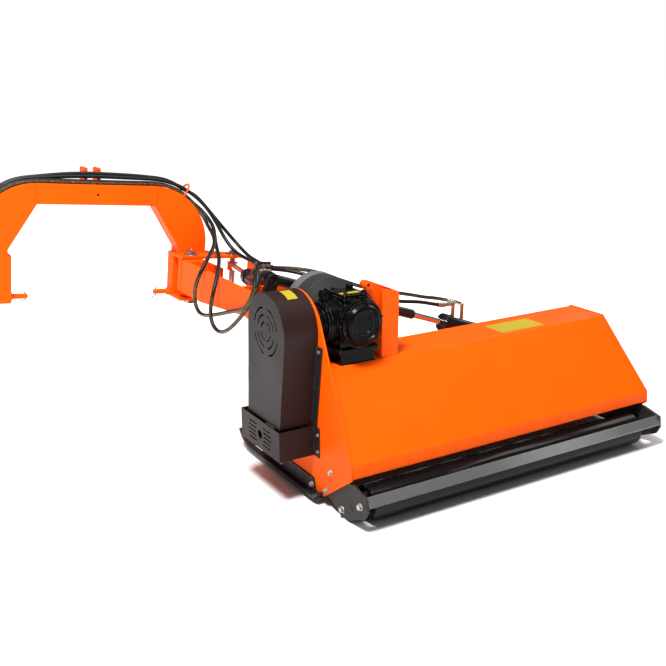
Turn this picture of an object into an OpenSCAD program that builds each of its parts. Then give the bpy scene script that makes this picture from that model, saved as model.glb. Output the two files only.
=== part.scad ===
// Offset flail mower for a tractor's three-point hitch.
// Working frame: x across the cut from the left side plate, y forward from the rear lip,
// z up from the skids' soles.
// The origin of the finished part is the end of the driveline stub.

/* [Hood] */
// Width between the side plates
deck_w = 1446; // [1200:1:1800]
// Thickness of the folded hood sheet
sheet = 6; // [4:0.5:8]
// Height of the rear lip's lower edge
lip_z = 150; // [140:1:165]
// Height of the rear lip
lip_h = 47; // [35:1:60]
// Height of the hood's top
top_z = 460; // [450:1:480]
// Forward run of the rear slope
slope_run = 270; // [250:1:280]
// Forward run of the flat top
top_run = 190; // [180:1:200]
// Forward run of the front slope
front_run = 160; // [150:1:170]
// Height of the front edge
front_z = 240; // [225:1:250]
// Thickness of the side plates
side_t = 8; // [6:1:12]

/* [Drive] */
// Gearbox input axis from the left side plate
gear_x = 198; // [190:1:210]
// Gearbox output axis, forward of the rear lip
gear_y = 345; // [335:1:355]
// Height of the gearbox axes
gear_z = 612; // [600:1:625]
// Radius of the gearbox barrel
gear_r = 84; // [80:1:88]
// Radius of the rear cover
cover_r = 76; // [70:1:80]
// Radius of the splined stub
stub_r = 17.5; // [15:0.5:20]
// Forward end of the splined stub
stub_y = 606; // [600:1:610]
// Radius of the driveline shield
shield_r = 128; // [115:1:130]
// Radius of the drive pulley
drive_r = 90; // [84:1:94]
// Radius of the rotor pulley
driven_r = 42; // [40:1:44]
// Width of the belt guard from the side plate
guard_d = 132; // [125:1:145]
// Radius of the belt guard's round top
guard_r = 137; // [132:1:140]
// Wall of the guards
guard_wall = 4; // [3:0.5:5]

/* [Rotor] */
// Rotor axis, forward of the rear lip
rotor_y = 385; // [380:1:392]
// Height of the rotor axis
rotor_z = 214; // [210:1:220]
// Radius of the rotor tube
rotor_r = 68; // [60:1:72]
// Radius of the rotor shaft in its bearings
rotor_shaft_r = 22; // [18:1:26]
// Radius at which the hammers are pinned
hammer_pin_at = 96; // [94:1:100]
// Radius of a hammer pin
hammer_pin_r = 8; // [6:0.5:9]
// Length of a hammer from its pin to its edge
hammer_l = 82; // [70:1:86]
// Hammers in one row
hammers = 6; // [4:1:7]

/* [Roller and skids] */
// Radius of the rear roller
roller_r = 66; // [60:1:68]
// Roller axis behind the rear lip
roller_back = 2; // [0:1:10]
// Height of the roller axis
roller_z = 50; // [48:1:60]
// Width of a skid
skid_w = 28; // [24:1:60]
// Thickness of a skid
skid_t = 14; // [10:1:18]

/* [Arm] */
// Tilt axis from the left side plate
tilt_x = -20; // [-24:1:-16]
// Height of the tilt axis
tilt_z = 591; // [586:1:600]
// Tilt of the arm against the head as it stands
tilt_rest = 5.5; // [0:0.5:8]
// Kingpin, forward of the rear lip
king_y = 1300; // [1280:1:1330]
// Height of the arm's walls above the tilt axis
arm_top = 95; // [92:1:98]
// Plate thickness of the arm
arm_t = 10; // [8:1:12]
// Radius of the tilt pin
tilt_pin_r = 25; // [20:1:28]
// Radius of the kingpin
king_r = 16; // [12:1:20]

/* [Hitch] */
// Half width of the arch at the beam's mitres
mitre_x = 247; // [240:1:252]
// Height of the beam's underside above the tilt axis
beam_z = 315; // [305:1:325]
// Height of the beam
beam_h = 82; // [74:1:90]
// Depth of the arch
arch_d = 80; // [70:1:84]
// Middle of the arch, forward of the kingpin
arch_ahead = 70; // [68:1:76]
// Distance from the kingpin to the middle of the hitch
hitch_mid = 408; // [400:1:415]
// Radius of the lower hitch pins
hitch_pin_r = 11; // [10:0.5:14]
// Length of the lower hitch pins
hitch_pin_l = 74; // [68:1:80]
// Radius of the top link holes
top_hole_r = 9.75; // [8:0.25:12]

/* [Hydraulics] */
// Radius of the cylinder barrels
barrel_r = 30; // [26:1:32]
// Radius of the chromed rods
rod_r = 15; // [12:1:18]
// Radius of the hoses
hose_r = 8; // [7:0.5:9]

/* [Fits] */
// Radial clearance of pins and shafts that turn
fit = 0.05; // [0.02:0.01:0.1]
// Gap between pieces that pass each other
gap = 2; // [1:0.5:3]

/* [Hidden] */

$fn = 64;
orange = [1, 0.42, 0.06];
black = [0.07, 0.07, 0.07];
dark = [0.2, 0.19, 0.19];
steel = [0.72, 0.72, 0.74];
brass = [0.8, 0.68, 0.35];

// Hood profile, from the rear lip forward
lip_top = lip_z + lip_h;
top_y = slope_run + top_run;
front_y = top_y + front_run;
function front_slope_z(y) = top_z - (y - top_y) * (top_z - front_z) / front_run;
hood_line = [[0, lip_z], [0, lip_top], [slope_run, top_z], [top_y, top_z], [front_y, front_z]];
slope_a = atan2(top_z - lip_top, slope_run);
front_a = atan2(top_z - front_z, front_run);
// Inner corner points, one sheet inside the outer line
hood_inner = [[front_y - sheet / sin(front_a), front_z],
  [top_y - sheet * tan(front_a / 2), top_z - sheet],
  [slope_run + sheet * tan(slope_a / 2), top_z - sheet],
  [sheet, lip_top - sheet * tan((90 - slope_a) / 2)], [sheet, lip_z]];

// Guard and side plate outline round the two pulley axes
plate_r = guard_r + 22;
low_guard_w = 300;
low_guard_h = 112;
low_guard_d = guard_d + 12;
shaft_r = 20;

// Tilt cylinder: the ear lies square above the tilt axis and the rod falls to the right
ear_at = 141;
tilt_y = 640;
tilt_reach = 895;
sleeve_l = 720;
tilt_barrel_l = 330;
eye_stand = 40;
anchor_at = tilt_reach + tilt_barrel_l + eye_stand;
anchor_z = front_z + 59.5;
rod_fall = acos((anchor_z - tilt_z) / norm([ear_at, anchor_at])) - atan2(anchor_at, ear_at);
tilt_bore_r = barrel_r + 4;
eye_r = 27;
eye_w = 34;
eye_bore_r = 14;
boss_r = eye_bore_r + 4;
sleeve_r = rod_r + 6;
ear_x = tilt_x + ear_at * sin(rod_fall);
ear_z = tilt_z + ear_at * cos(rod_fall);

// Arm: channel between the end plate and the nose
arm_end_y = 690;
arm_front_y = king_y - 80;
arm_near = -58;
arm_far_rear = 165;
arm_far_front = 245;
arm_floor = -45;
pin_lever = 202;
swing_rear_x = 110;
swing_rear_y = 745;
swing_z = 55;
swing_a = atan2(king_y - swing_rear_y, pin_lever - swing_rear_x);
swing_l = norm([king_y - swing_rear_y, pin_lever - swing_rear_x]);
swing_barrel_l = 320;
rod_tail = 70;

// Hitch bracket plates above and below the arm
bracket_t = 12;
bracket_low = -74;
bracket_top = arm_top + gap;
bracket_left = 62;
foot_half = hitch_mid - bracket_left;
arch_y = king_y + arch_ahead;
hitch_pin_y = arch_y + 10;
hitch_pin_z = -68;

// Roller and flaps
roller_in = 56;
roller_out = 84;
roller_shaft_r = 15;
bracket_in = 10;
flap_y = front_y + 12;
flap_z = front_z - 14;
flap_rod_r = 8;
flap_l = 178;
flap_t = 6;

// Hose routes, chosen by hand: x from the kingpin, y forward, z from the tilt axis, arm level
swing_route_a = [[-912, 1332, 100], [-910, 1332, 150], [-892, 1334, 235], [-848, 1338, 316],
  [-780, 1341, 374], [-718, 1343, 399], [-640, 1344, 407], [-540, 1344, 407], [-440, 1344, 407],
  [-340, 1345, 407], [-250, 1347, 407], [-170, 1351, 407], [-110, 1356, 401], [-62, 1360, 386],
  [-25, 1361, 366], [16, 1359, 334], [50, 1350, 296], [66, 1322, 262], [64, 1276, 236], [48, 1190, 214],
  [25, 1120, 190], [-20, 1053, 160], [-62, 1010, 126], [-88, 1000, 82], [-98, 1012, 36],
  [-99, 1018, -12], [-98, 1000, -50], [-97, 962, -70], [-96, 905, -66], [-94, 836, -48],
  [-92, 760, -24], [-90, 687, 0], [-88, 632, 17], [-87, 601, 28], [-85, 577, 43], [-80, 562, 66],
  [-71, 558, 94], [-60, 567, 120], [-49, 585, 140], [-38, 611, 151], [-28, 637, 150], [-17, 666, 142],
  [-6, 694, 133], [6, 722, 124], [16, 750, 117], [23, 776, 113], [31, 795, 112], [47, 813, 112],
  [68, 826, 112], [92, 830, 112]];
swing_route_b = [[-912, 1358, 100], [-910, 1358, 150], [-892, 1358, 235], [-848, 1359, 316],
  [-780, 1360, 374], [-718, 1361, 399], [-640, 1362, 407], [-540, 1362, 407], [-440, 1362, 407],
  [-340, 1363, 407], [-250, 1365, 407], [-170, 1369, 407], [-110, 1374, 401], [-62, 1378, 386],
  [-25, 1379, 366], [20, 1377, 332], [62, 1366, 300], [84, 1334, 268], [82, 1264, 236], [66, 1208, 203],
  [44, 1139, 172], [4, 1023, 144], [-52, 905, 120], [-84, 852, 84], [-104, 830, 38], [-113, 826, -12],
  [-116, 812, -56], [-114, 776, -86], [-111, 726, -90], [-107, 668, -64], [-100, 612, -18],
  [-96, 568, 26], [-91, 538, 62], [-85, 523, 94], [-77, 521, 125], [-67, 531, 155], [-57, 552, 177],
  [-46, 579, 189], [-36, 607, 191], [-25, 635, 184], [-13, 662, 172], [-2, 690, 158], [8, 714, 147],
  [16, 736, 139], [24, 753, 135], [39, 771, 133], [60, 784, 132], [84, 788, 132]];
tilt_route_a = [[-912, 1384, 100], [-910, 1384, 150], [-892, 1383, 235], [-848, 1382, 316],
  [-780, 1381, 376], [-718, 1380, 404], [-640, 1380, 414], [-540, 1379, 422], [-440, 1378, 426],
  [-340, 1377, 426], [-250, 1374, 425], [-170, 1369, 424], [-110, 1365, 418], [-58, 1362, 404],
  [-14, 1361, 384], [36, 1353, 352], [86, 1343, 304], [126, 1329, 244], [154, 1306, 188],
  [174, 1266, 146], [190, 1215, 122], [200, 1160, 114], [200, 1100, 112], [193, 1050, 112],
  [190, 1006, 112]];
tilt_route_b = [[-912, 1410, 100], [-910, 1410, 150], [-892, 1408, 235], [-848, 1404, 317],
  [-780, 1401, 378], [-718, 1399, 406], [-640, 1397, 418], [-540, 1396, 430], [-440, 1395, 436],
  [-340, 1393, 436], [-250, 1390, 434], [-170, 1386, 430], [-110, 1383, 424], [-58, 1380, 406],
  [-16, 1379, 382], [36, 1376, 360], [92, 1368, 306], [152, 1356, 240], [204, 1338, 182], [232, 1310, 146],
  [240, 1262, 124], [236, 1200, 114], [227, 1130, 112], [216, 1060, 112], [212, 1006, 112]];
// Rear lengths, in the working frame, from the bulkhead on the arm to the tilt cylinder
tilt_rear_a = [[180, 993.5, 684.3], [178, 940, 686], [186, 880, 692], [222, 820, 692], [290, 764, 672],
  [380, 720, 632], [480, 690, 590], [580, 668, 557], [670, 655, 540], [750, 646, 529], [820, 641, 511],
  [860, 640, 502], [884, 640, 500]];
tilt_rear_b = [[201.8, 993.5, 682.2], [204, 940, 686], [216, 880, 694], [256, 830, 696],
  [330, 792, 680], [420, 764, 644], [520, 748, 604], [620, 742, 576], [710, 744, 552], [790, 749, 531],
  [850, 753, 514], [898, 752, 504], [927, 746, 498], [952, 730, 493], [968, 705, 490], [974, 676, 489]];
// Bulkhead plate on the arm, between the front and the rear lengths
bulkhead_y = 1000;
bulkhead_t = 11;

// Points on an arc in a plane
function arc(c, r, a0, a1, n) =
  [for (i = [0:n]) let (a = a0 + (a1 - a0) * i / n) c + r * [cos(a), sin(a)]];

// Outline round two circles, upper and lower
function loop_outline(c1, r1, c2, r2, n) =
  let (d = c1 - c2, l = norm(d), up = atan2(d[1], d[0]), lean = asin((r1 - r2) / l))
  concat(arc(c1, r1, up - 90 - lean, up + 90 + lean, n), arc(c2, r2, up + 90 + lean, up + 270 - lean, n));

// Smooth curve through the route's points, with a ring at every step
function hermite(p, i, t) =
  let (n = len(p), a = p[max(i - 1, 0)], b = p[i], c = p[i + 1], d = p[min(i + 2, n - 1)],
    m0 = (c - a) / 2, m1 = (d - b) / 2)
  (2 * t * t * t - 3 * t * t + 1) * b + (t * t * t - 2 * t * t + t) * m0
    + (3 * t * t - 2 * t * t * t) * c + (t * t * t - t * t) * m1;
function route(p, steps) =
  concat([for (i = [0:len(p) - 2], k = [0:steps - 1]) hermite(p, i, k / steps)], [p[len(p) - 1]]);
function unit(v) = v / norm(v);

// Tube swept along a route: each ring stands square to the way through its neighbours
module tube(points, r, sides) {
  n = len(points);
  way = [for (i = [0:n - 1]) unit(points[min(i + 1, n - 1)] - points[max(i - 1, 0)])];
  side = [for (i = [0:n - 1]) unit(cross(way[i], [0.31, 0.17, 0.93]))];
  rings = [for (i = [0:n - 1], k = [0:sides - 1])
    points[i] + r * (cos(360 * k / sides) * side[i] + sin(360 * k / sides) * cross(way[i], side[i]))];
  walls = [for (i = [0:n - 2], k = [0:sides - 1], h = [0, 1])
    let (a = i * sides + k, b = i * sides + (k + 1) % sides)
    h == 0 ? [a, b + sides, b] : [a, a + sides, b + sides]];
  caps = [for (k = [1:sides - 2], h = [0, 1])
    let (e = (n - 1) * sides)
    h == 0 ? [0, k, k + 1] : [e, e + k + 1, e + k]];
  polyhedron(points = rings, faces = concat(walls, caps));
}

// Frames: the head, and the arm with the hitch, which lean against it
module on_head() {
  translate([-gear_x, -stub_y, -gear_z]) children();
}
module on_arm() {
  on_head() translate([tilt_x, 0, tilt_z]) rotate([0, tilt_rest, 0]) children();
}
// Extrusion of a y-z outline along x, from x0 over the given width
module across(x0, w) {
  translate([x0, 0, 0]) rotate([90, 0, 90]) linear_extrude(w) children();
}
// Cylinder along x or y
module rod_x(x0, x1, y, z, r) {
  translate([x0, y, z]) rotate([0, 90, 0]) cylinder(h = x1 - x0, r = r);
}
module rod_y(x, y0, y1, z, r) {
  translate([x, y0, z]) rotate([-90, 0, 0]) cylinder(h = y1 - y0, r = r);
}
// Bolt head with its washer, standing on z = 0
bolt_washer_h = 2;
module bolt_head(r) {
  cylinder(h = bolt_washer_h, r = 1.9 * r);
  translate([0, 0, bolt_washer_h]) cylinder(h = 1.3 * r, r = 1.55 * r, $fn = 6);
}
module bolt_left(x, y, z, r) {
  translate([x, y, z]) rotate([0, -90, 0]) bolt_head(r);
}
module bolt_right(x, y, z, r) {
  translate([x, y, z]) rotate([0, 90, 0]) bolt_head(r);
}

// Head: hood, side plates and skids
module hood() {
  color(orange) on_head() across(0, deck_w) polygon(concat(hood_line, hood_inner));
}
plate_nose = [[front_y + 4, front_z + 4], [front_y + 28, front_z - 2], [front_y + 28, front_z - 34],
  [front_y - 24, 60], [560, 19]];
function side_outline() = concat(
  [[172, 19], [-6, lip_z - 2], [1, lip_top + 26]],
  arc([gear_y, gear_z - 24], plate_r, 157, -12, 30),
  [[gear_y + plate_r - 4, front_z + 240], [front_y - 60, front_z + 130]], plate_nose);
right_outline = concat([[172, 19], [-6, lip_z - 2], [-2, lip_top], [slope_run - 1, top_z + 3],
  [top_y + 1, top_z + 3]], plate_nose);
module left_side_plate() {
  color(orange) on_head() difference() {
    across(-side_t, side_t) polygon(side_outline());
    rod_x(-side_t - 1, 1, gear_y, gear_z, shaft_r + 8);
    rod_x(-side_t - 1, 1, rotor_y, rotor_z, rotor_shaft_r + 8);
  }
}
module right_side_plate() {
  color(orange) on_head() difference() {
    across(deck_w, side_t) polygon(right_outline);
    rod_x(deck_w - 1, deck_w + side_t + 1, rotor_y, rotor_z, rotor_shaft_r + 8);
  }
}
skid_nose = 700;
skid_line = concat([[176, 26], [200, 4], [230, 0]], arc([skid_nose, 130], 130, -90, -32, 8));
skid_inner = concat(arc([skid_nose, 130], 130 - skid_t, -32, -90, 8),
  [[232, skid_t], [208, 4 + skid_t], [184, 26 + skid_t / 2]]);
module skid_bar(x0) {
  across(x0, skid_w) polygon(concat(skid_line, skid_inner));
}
skid_web_t = 6;
skid_web = [[222, skid_t - 4], [640, skid_t - 4], [640, 66], [240, 66]];
module left_skid() {
  color(black) on_head() {
    skid_bar(-side_t - skid_w);
    across(-side_t - skid_web_t, skid_web_t) polygon(skid_web);
  }
}
module right_skid() {
  color(black) on_head() {
    skid_bar(deck_w + side_t);
    across(deck_w + side_t, skid_web_t) polygon(skid_web);
  }
}

// Belt guard: a shell round the two pulleys with three rings of arc vents
guard_low_c = [rotor_y - 5, rotor_z + 20];
guard_low_r = guard_r - 16;
vent_w = 7;
rear_flange = 36;
front_flange = 14;
// Flange bolts: their drop from the gearbox axis, and the guard's middle and half width there
flange_drop = 57;
flange_k = flange_drop / (gear_z - guard_low_c[1]);
flange_mid = gear_y + flange_k * (guard_low_c[0] - gear_y);
flange_in = guard_r + flange_k * (guard_low_r - guard_r);
module guard_solid(grow, x0, w) {
  across(x0, w) polygon(loop_outline([gear_y, gear_z], guard_r + grow, guard_low_c, guard_low_r + grow, 32));
}
module vent(r, a0, a1) {
  across(-side_t - guard_d - 1, guard_wall + 2) translate([gear_y, gear_z])
    polygon(concat(arc([0, 0], r + vent_w / 2, a0, a1, 8), arc([0, 0], r - vent_w / 2, a1, a0, 8)));
}
module belt_guard() {
  color(dark) on_head() difference() {
    union() {
      guard_solid(0, -side_t - guard_d, guard_d);
      for (f = [[rear_flange, -500], [front_flange, gear_y]]) intersection() {
        guard_solid(f[0], -side_t - guard_wall, guard_wall);
        translate([-500, f[1], 0]) cube([1000, gear_y + 500, gear_z - 40]);
      }
    }
    guard_solid(-guard_wall, -side_t - guard_d + guard_wall, guard_d);
    for (r = [34, 60, 86], q = [0:3]) vent(r, q * 90 + 12, q * 90 + 78);
    translate([-500, -200, -300]) cube([1000, 1500, 300 + rotor_z + low_guard_h / 2 + gap]);
  }
}
// Lower guard: a box over the rotor pulley with slots and a round middle hole
low_y0 = rotor_y - low_guard_w / 2;
low_z0 = rotor_z - low_guard_h / 2;
module lower_guard() {
  color(dark) on_head() difference() {
    union() {
      translate([-side_t - low_guard_d, low_y0, low_z0])
        cube([low_guard_d, low_guard_w, low_guard_h]);
      translate([-side_t - guard_wall, low_y0 - rear_flange, low_z0])
        cube([guard_wall, low_guard_w + rear_flange + front_flange, low_guard_h]);
    }
    translate([guard_wall - side_t - low_guard_d, low_y0 + guard_wall, low_z0 + guard_wall])
      cube([low_guard_d, low_guard_w - 2 * guard_wall, low_guard_h]);
    rod_x(-side_t - low_guard_d - 1, -side_t - low_guard_d + guard_wall + 1, rotor_y, rotor_z, 17);
    for (i = [-2:2], s = [-1, 1])
      translate([-side_t - low_guard_d - 1, rotor_y + s * (62 - 5 * abs(i)) - 30, rotor_z + i * 16 - 3])
        cube([guard_wall + 2, 60, 6]);
  }
}
// Bolt heads of the guards, roller brackets and skids
bolt_r = 6;
small_bolt_r = 3.6;
roller_bolts = [[123, 131], [153, 51]];
bracket_bolts = [[58, 16], [-57, 76]];
module head_bolts() {
  color(steel) on_head() {
    for (y = [low_y0 - rear_flange + 8, low_y0 + low_guard_w + front_flange / 2], h = [-33, 30])
      bolt_left(-side_t - guard_wall, y, rotor_z + h, small_bolt_r);
    for (y = [flange_mid - flange_in - rear_flange / 2, flange_mid + flange_in + front_flange / 2])
      bolt_left(-side_t - guard_wall, y, gear_z - flange_drop, small_bolt_r);
    for (p = roller_bolts) {
      bolt_left(-side_t, p[0], p[1], bolt_r);
      bolt_right(deck_w + side_t, p[0], p[1], bolt_r);
    }
    for (p = bracket_bolts) {
      bolt_left(0, p[0], p[1], bolt_r + 1);
      bolt_right(deck_w, p[0], p[1], bolt_r + 1);
    }
    for (y = [245, 470]) {
      bolt_left(-side_t - skid_web_t, y, 40, bolt_r);
      bolt_right(deck_w + side_t + skid_web_t, y, 40, bolt_r);
    }
  }
}

// Gearbox: input barrel along y, output barrel along x, on a plinth
gear_front = gear_y + 92;
gear_back = gear_y - 92;
gear_wall = 12;
output_x = gear_x - 108;
plinth_top = gear_z - gear_r - 10;
module gearbox_plinth() {
  color(black) on_head() {
    for (s = [-1, 1])
      translate([gear_x + s * 62 - 10, gear_y - 70, top_z]) cube([20, 116, plinth_top - top_z - 12]);
    translate([gear_x - 62, gear_y - 70, top_z]) cube([124, 8, plinth_top - top_z - 12]);
    translate([gear_x - 84, gear_y - 80, plinth_top - 12]) cube([168, 156, 12]);
  }
}
module gearbox_housing() {
  color(black) on_head() difference() {
    union() {
      rod_y(gear_x, gear_back, gear_front, gear_z, gear_r);
      rod_x(output_x, gear_x + 74, gear_y, gear_z, gear_r - 6);
      rod_y(gear_x, gear_front - 26, gear_front, gear_z, gear_r + 8);
      rod_y(gear_x, gear_back, gear_back + 16, gear_z, gear_r + 6);
      translate([gear_x - 68, gear_y - 63, plinth_top]) cube([136, 126, 40]);
      translate([gear_x - 52, gear_y - 58, gear_z + 40]) cube([104, 116, gear_r - 34]);
      for (s = [-1, 1])
        translate([gear_x + s * 40 - 5, gear_y - 82, gear_z + 45]) cube([10, 150, gear_r - 41]);
    }
    rod_y(gear_x, gear_back - 1, gear_front - gear_wall - 14, gear_z, gear_r - gear_wall);
    rod_x(output_x + gear_wall + 4, gear_x + 74 - gear_wall, gear_y, gear_z, gear_r - 8 - gear_wall);
    rod_y(gear_x, gear_y, gear_front + 1, gear_z, bearing_r);
    rod_x(output_x - 1, gear_x, gear_y, gear_z, bearing_r);
  }
}
bearing_r = 40;
module gearbox_rear_cover() {
  color(black) on_head() translate([gear_x, gear_back, gear_z]) rotate([90, 0, 0]) rotate_extrude()
    polygon([[0, 0], [cover_r + 8, 0], [cover_r + 8, 10], [cover_r, 14], [cover_r - 8, 26],
      [cover_r - 18, 30], [cover_r - 22, 24], [cover_r - 40, 22], [cover_r - 44, 15], [0, 15]]);
}
module gearbox_output_tube() {
  color(black) on_head() difference() {
    union() {
      rod_x(0, output_x, gear_y, gear_z, gear_r - 28);
      rod_x(0, 14, gear_y, gear_z, gear_r - 4);
      rod_x(output_x - 14, output_x, gear_y, gear_z, gear_r - 8);
    }
    rod_x(-1, output_x + 1, gear_y, gear_z, shaft_r + 8);
  }
}
cap_z = gear_z + gear_r + 6;
module gearbox_top_cover() {
  color(black) on_head() {
    translate([gear_x - 48, gear_y - 54, cap_z]) cube([96, 108, 10]);
    for (sx = [-1, 1], sy = [-1, 1]) translate([gear_x + sx * 38, gear_y + sy * 44, cap_z + 10]) bolt_head(6);
    translate([gear_x + 20, gear_y + 22, cap_z + 10]) cylinder(h = 12, r = 13);
    translate([gear_x + 20, gear_y + 22, cap_z + 22]) cylinder(h = 9, r = 16, $fn = 6);
  }
}
bearing_w = 24;
module gearbox_bearings() {
  color(steel) on_head() difference() {
    union() {
      rod_y(gear_x, gear_front - bearing_w, gear_front, gear_z, bearing_r);
      rod_x(output_x, output_x + gear_wall, gear_y, gear_z, bearing_r);
    }
    rod_y(gear_x, gear_front - bearing_w - 1, gear_front + 1, gear_z, stub_r + 4 + fit);
    rod_x(output_x - 1, output_x + bearing_w + 1, gear_y, gear_z, shaft_r + fit);
  }
}
shield_l = 156;
module driveline_shield() {
  color(dark) on_head() difference() {
    union() {
      rod_y(gear_x, gear_front + 40, gear_front + shield_l, gear_z, shield_r);
      translate([gear_x, gear_front, gear_z]) rotate([-90, 0, 0]) cylinder(h = 40, r1 = 70, r2 = shield_r);
    }
    rod_y(gear_x, gear_front + 40, gear_front + shield_l + 1, gear_z, shield_r - guard_wall);
    rod_y(gear_x, gear_front - 1, gear_front + 41, gear_z, stub_r + 14);
    translate([gear_x - 200, gear_front + 8, gear_z - 300]) cube([400, 200, 300 - 40]);
  }
}
// Folded tower post with a round lug, right of the gearbox
tower_x = 305;
tower_y = slope_run + 8;
tower_w = 74;
tower_t = 8;
tower_top = top_z + 262;
lug_x = tower_x - 50;
lug_z = tower_top + 16;
module tower_post() {
  color(orange) on_head() difference() {
    union() {
      difference() {
        union() {
          translate([tower_x, tower_y, top_z]) cube([tower_t, 120, tower_top - top_z]);
          translate([tower_x, tower_y, top_z]) cube([tower_w, tower_t, tower_top - top_z]);
          translate([tower_x + tower_w - tower_t, tower_y, top_z]) cube([tower_t, 64, tower_top - top_z]);
        }
        translate([tower_x - 1, tower_y - 1, tower_top]) rotate([0, 14, 0]) cube([160, 140, 60]);
      }
      hull() {
        rod_y(lug_x, tower_y + 30, tower_y + 44, lug_z, 16);
        translate([tower_x, tower_y + 30, tower_top - 70]) cube([tower_w - tower_t - 6, 14, 58]);
      }
      rod_y(lug_x, tower_y + 16, tower_y + 58, lug_z, 13);
    }
    rod_y(lug_x, tower_y, tower_y + 80, lug_z, 8);
  }
}

// Tilt: bracket and pin on the head, cylinder along the front
bracket_y = 506;
pivot_t = 34;
arm_rear_y = 546;
pivot_r = 46;
module tilt_bracket() {
  color(orange) on_head() difference() {
    union() {
      rod_y(tilt_x, bracket_y, bracket_y + pivot_t, tilt_z, pivot_r);
      translate([0, bracket_y, front_slope_z(bracket_y)])
        cube([pivot_r + tilt_x, pivot_t, tilt_z - front_slope_z(bracket_y)]);
      translate([tilt_x - pivot_r, bracket_y, front_z + 212])
        cube([pivot_r - tilt_x - side_t, pivot_t, tilt_z - front_z - 212]);
    }
    rod_y(tilt_x, bracket_y - 1, bracket_y + pivot_t + 1, tilt_z, tilt_pin_r);
    translate([-side_t, bracket_y - 1, 0]) cube([side_t, pivot_t + 2, front_z + 240]);
  }
}
pin_head_end = 40;
pin_head_rim = 7;
module tilt_pin() {
  color(steel) on_head() {
    rod_y(tilt_x, bracket_y, arm_end_y + 24, tilt_z, tilt_pin_r);
    rod_y(tilt_x, arm_end_y + 24, arm_end_y + pin_head_end, tilt_z, tilt_pin_r + pin_head_rim);
  }
}
// Frame along the tilt cylinder's axis, from the ear
module along_tilt() {
  on_head() translate([ear_x, tilt_y, ear_z]) rotate([0, 90 + rod_fall, 0]) children();
}
anchor_x = ear_x + anchor_at * cos(rod_fall);
anchor_w = 56;
module tilt_anchor() {
  color(orange) on_head() difference() {
    across(anchor_x - anchor_w / 2, anchor_w) polygon([[560, front_slope_z(560)], [front_y, front_z],
      [tilt_y + 30, front_z + 10], [tilt_y + 30, anchor_z + 24], [tilt_y - 30, anchor_z + 24],
      [560, front_slope_z(560) + 30]]);
    translate([anchor_x - anchor_w, tilt_y - eye_w / 2 - gap, anchor_z - eye_r - 6])
      cube([2 * anchor_w, eye_w + 2 * gap, 200]);
    rod_y(anchor_x, tilt_y - 60, tilt_y + 60, anchor_z, eye_bore_r);
  }
}
module tilt_barrel() {
  color(black) along_tilt() difference() {
    union() {
      translate([0, 0, tilt_reach]) cylinder(h = tilt_barrel_l, r = tilt_bore_r);
      translate([0, 0, tilt_reach - 6]) cylinder(h = 34, r = tilt_bore_r + 5);
      translate([0, 0, tilt_reach + tilt_barrel_l - 10]) cylinder(h = eye_stand + 10, r = eye_w / 2 - 1);
      translate([0, eye_w / 2, anchor_at]) rotate([90, 0, 0]) cylinder(h = eye_w, r = eye_r - 1);
      translate([0, eye_w / 2 + 28, anchor_at]) rotate([90, 0, 0]) cylinder(h = eye_w + 56, r = eye_bore_r);
    }
    translate([0, 0, tilt_reach - 7]) cylinder(h = tilt_barrel_l - 20, r = rod_r + fit);
  }
}
fitting_r = 9;
hose_play = 1.6;
// Elbow fitting: a foot up from the cylinder and an arm to the hose's end
module elbow(foot, corner, hose_end) {
  for (leg = [[foot, corner], [corner, hose_end]]) {
    d = leg[1] - leg[0];
    translate(leg[0]) rotate([0, acos(d[2] / norm(d)), atan2(d[1], d[0])])
      cylinder(h = norm(d) - hose_play, r = fitting_r);
  }
  translate(corner) sphere(r = fitting_r);
}
module tilt_fittings() {
  a = tilt_rear_a[len(tilt_rear_a) - 1];
  b = tilt_rear_b[len(tilt_rear_b) - 1];
  color(brass) difference() {
    on_head() {
      elbow([a[0] + 40, tilt_y, tilt_axis_z(a[0] + 40)], [a[0] + 40, tilt_y, a[2]], a);
      elbow([b[0], tilt_y, tilt_axis_z(b[0])], [b[0], tilt_y, b[2]], b);
    }
    along_tilt() translate([0, 0, tilt_reach]) cylinder(h = tilt_barrel_l, r = tilt_bore_r);
  }
}
// Height of the tilt cylinder's axis
function tilt_axis_z(x) = ear_z - (x - ear_x) * tan(rod_fall);

// Rotor bearings and counter blade
module rotor_bearings() {
  color(black) on_head() difference() {
    union() {
      rod_x(-side_t - 40, -side_t, rotor_y, rotor_z, 40);
      rod_x(-side_t - 14, -side_t, rotor_y, rotor_z, 49);
      rod_x(deck_w + side_t, deck_w + side_t + 44, rotor_y, rotor_z, 48);
      rod_x(deck_w + side_t, deck_w + side_t + 14, rotor_y, rotor_z, 66);
    }
    rod_x(-side_t - 41, deck_w + side_t + 34, rotor_y, rotor_z, rotor_shaft_r + fit);
  }
}
blade_h = 44;
module counter_blade() {
  color(steel) on_head() translate([20, hood_inner[2][0] + 4, top_z - sheet - blade_h])
    cube([deck_w - 40, 12, blade_h]);
}

// Belts round both pulleys, tensioner inside the loop
belt_t = 9;
belt_w = 40;
pulley_x = -side_t - 58 - belt_w;
belt_clear = 0.5;
function belt_line(grow) =
  loop_outline([gear_y, gear_z], drive_r + grow, [rotor_y, rotor_z], driven_r + grow, 32);
module belts() {
  color(black) on_head() difference() {
    across(pulley_x, belt_w) polygon(belt_line(belt_clear + belt_t));
    across(pulley_x - 1, belt_w + 2) polygon(belt_line(belt_clear));
  }
}
idler_r = 24;
idler_z = (gear_z + rotor_z) / 2;
idler_mid_y = (gear_y + rotor_y) / 2;
belt_lean = atan2(rotor_y - gear_y, gear_z - rotor_z);
idler_y = idler_mid_y - ((drive_r + driven_r) / 2 - idler_r - 1) / cos(belt_lean);
idler_pin_r = 8;
module tensioner_arm() {
  color(steel) on_head() {
    rod_x(pulley_x - 6, -side_t, idler_y, idler_z, idler_pin_r);
    rod_x(-side_t - 14, -side_t, idler_y, idler_z, 20);
  }
}
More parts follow.
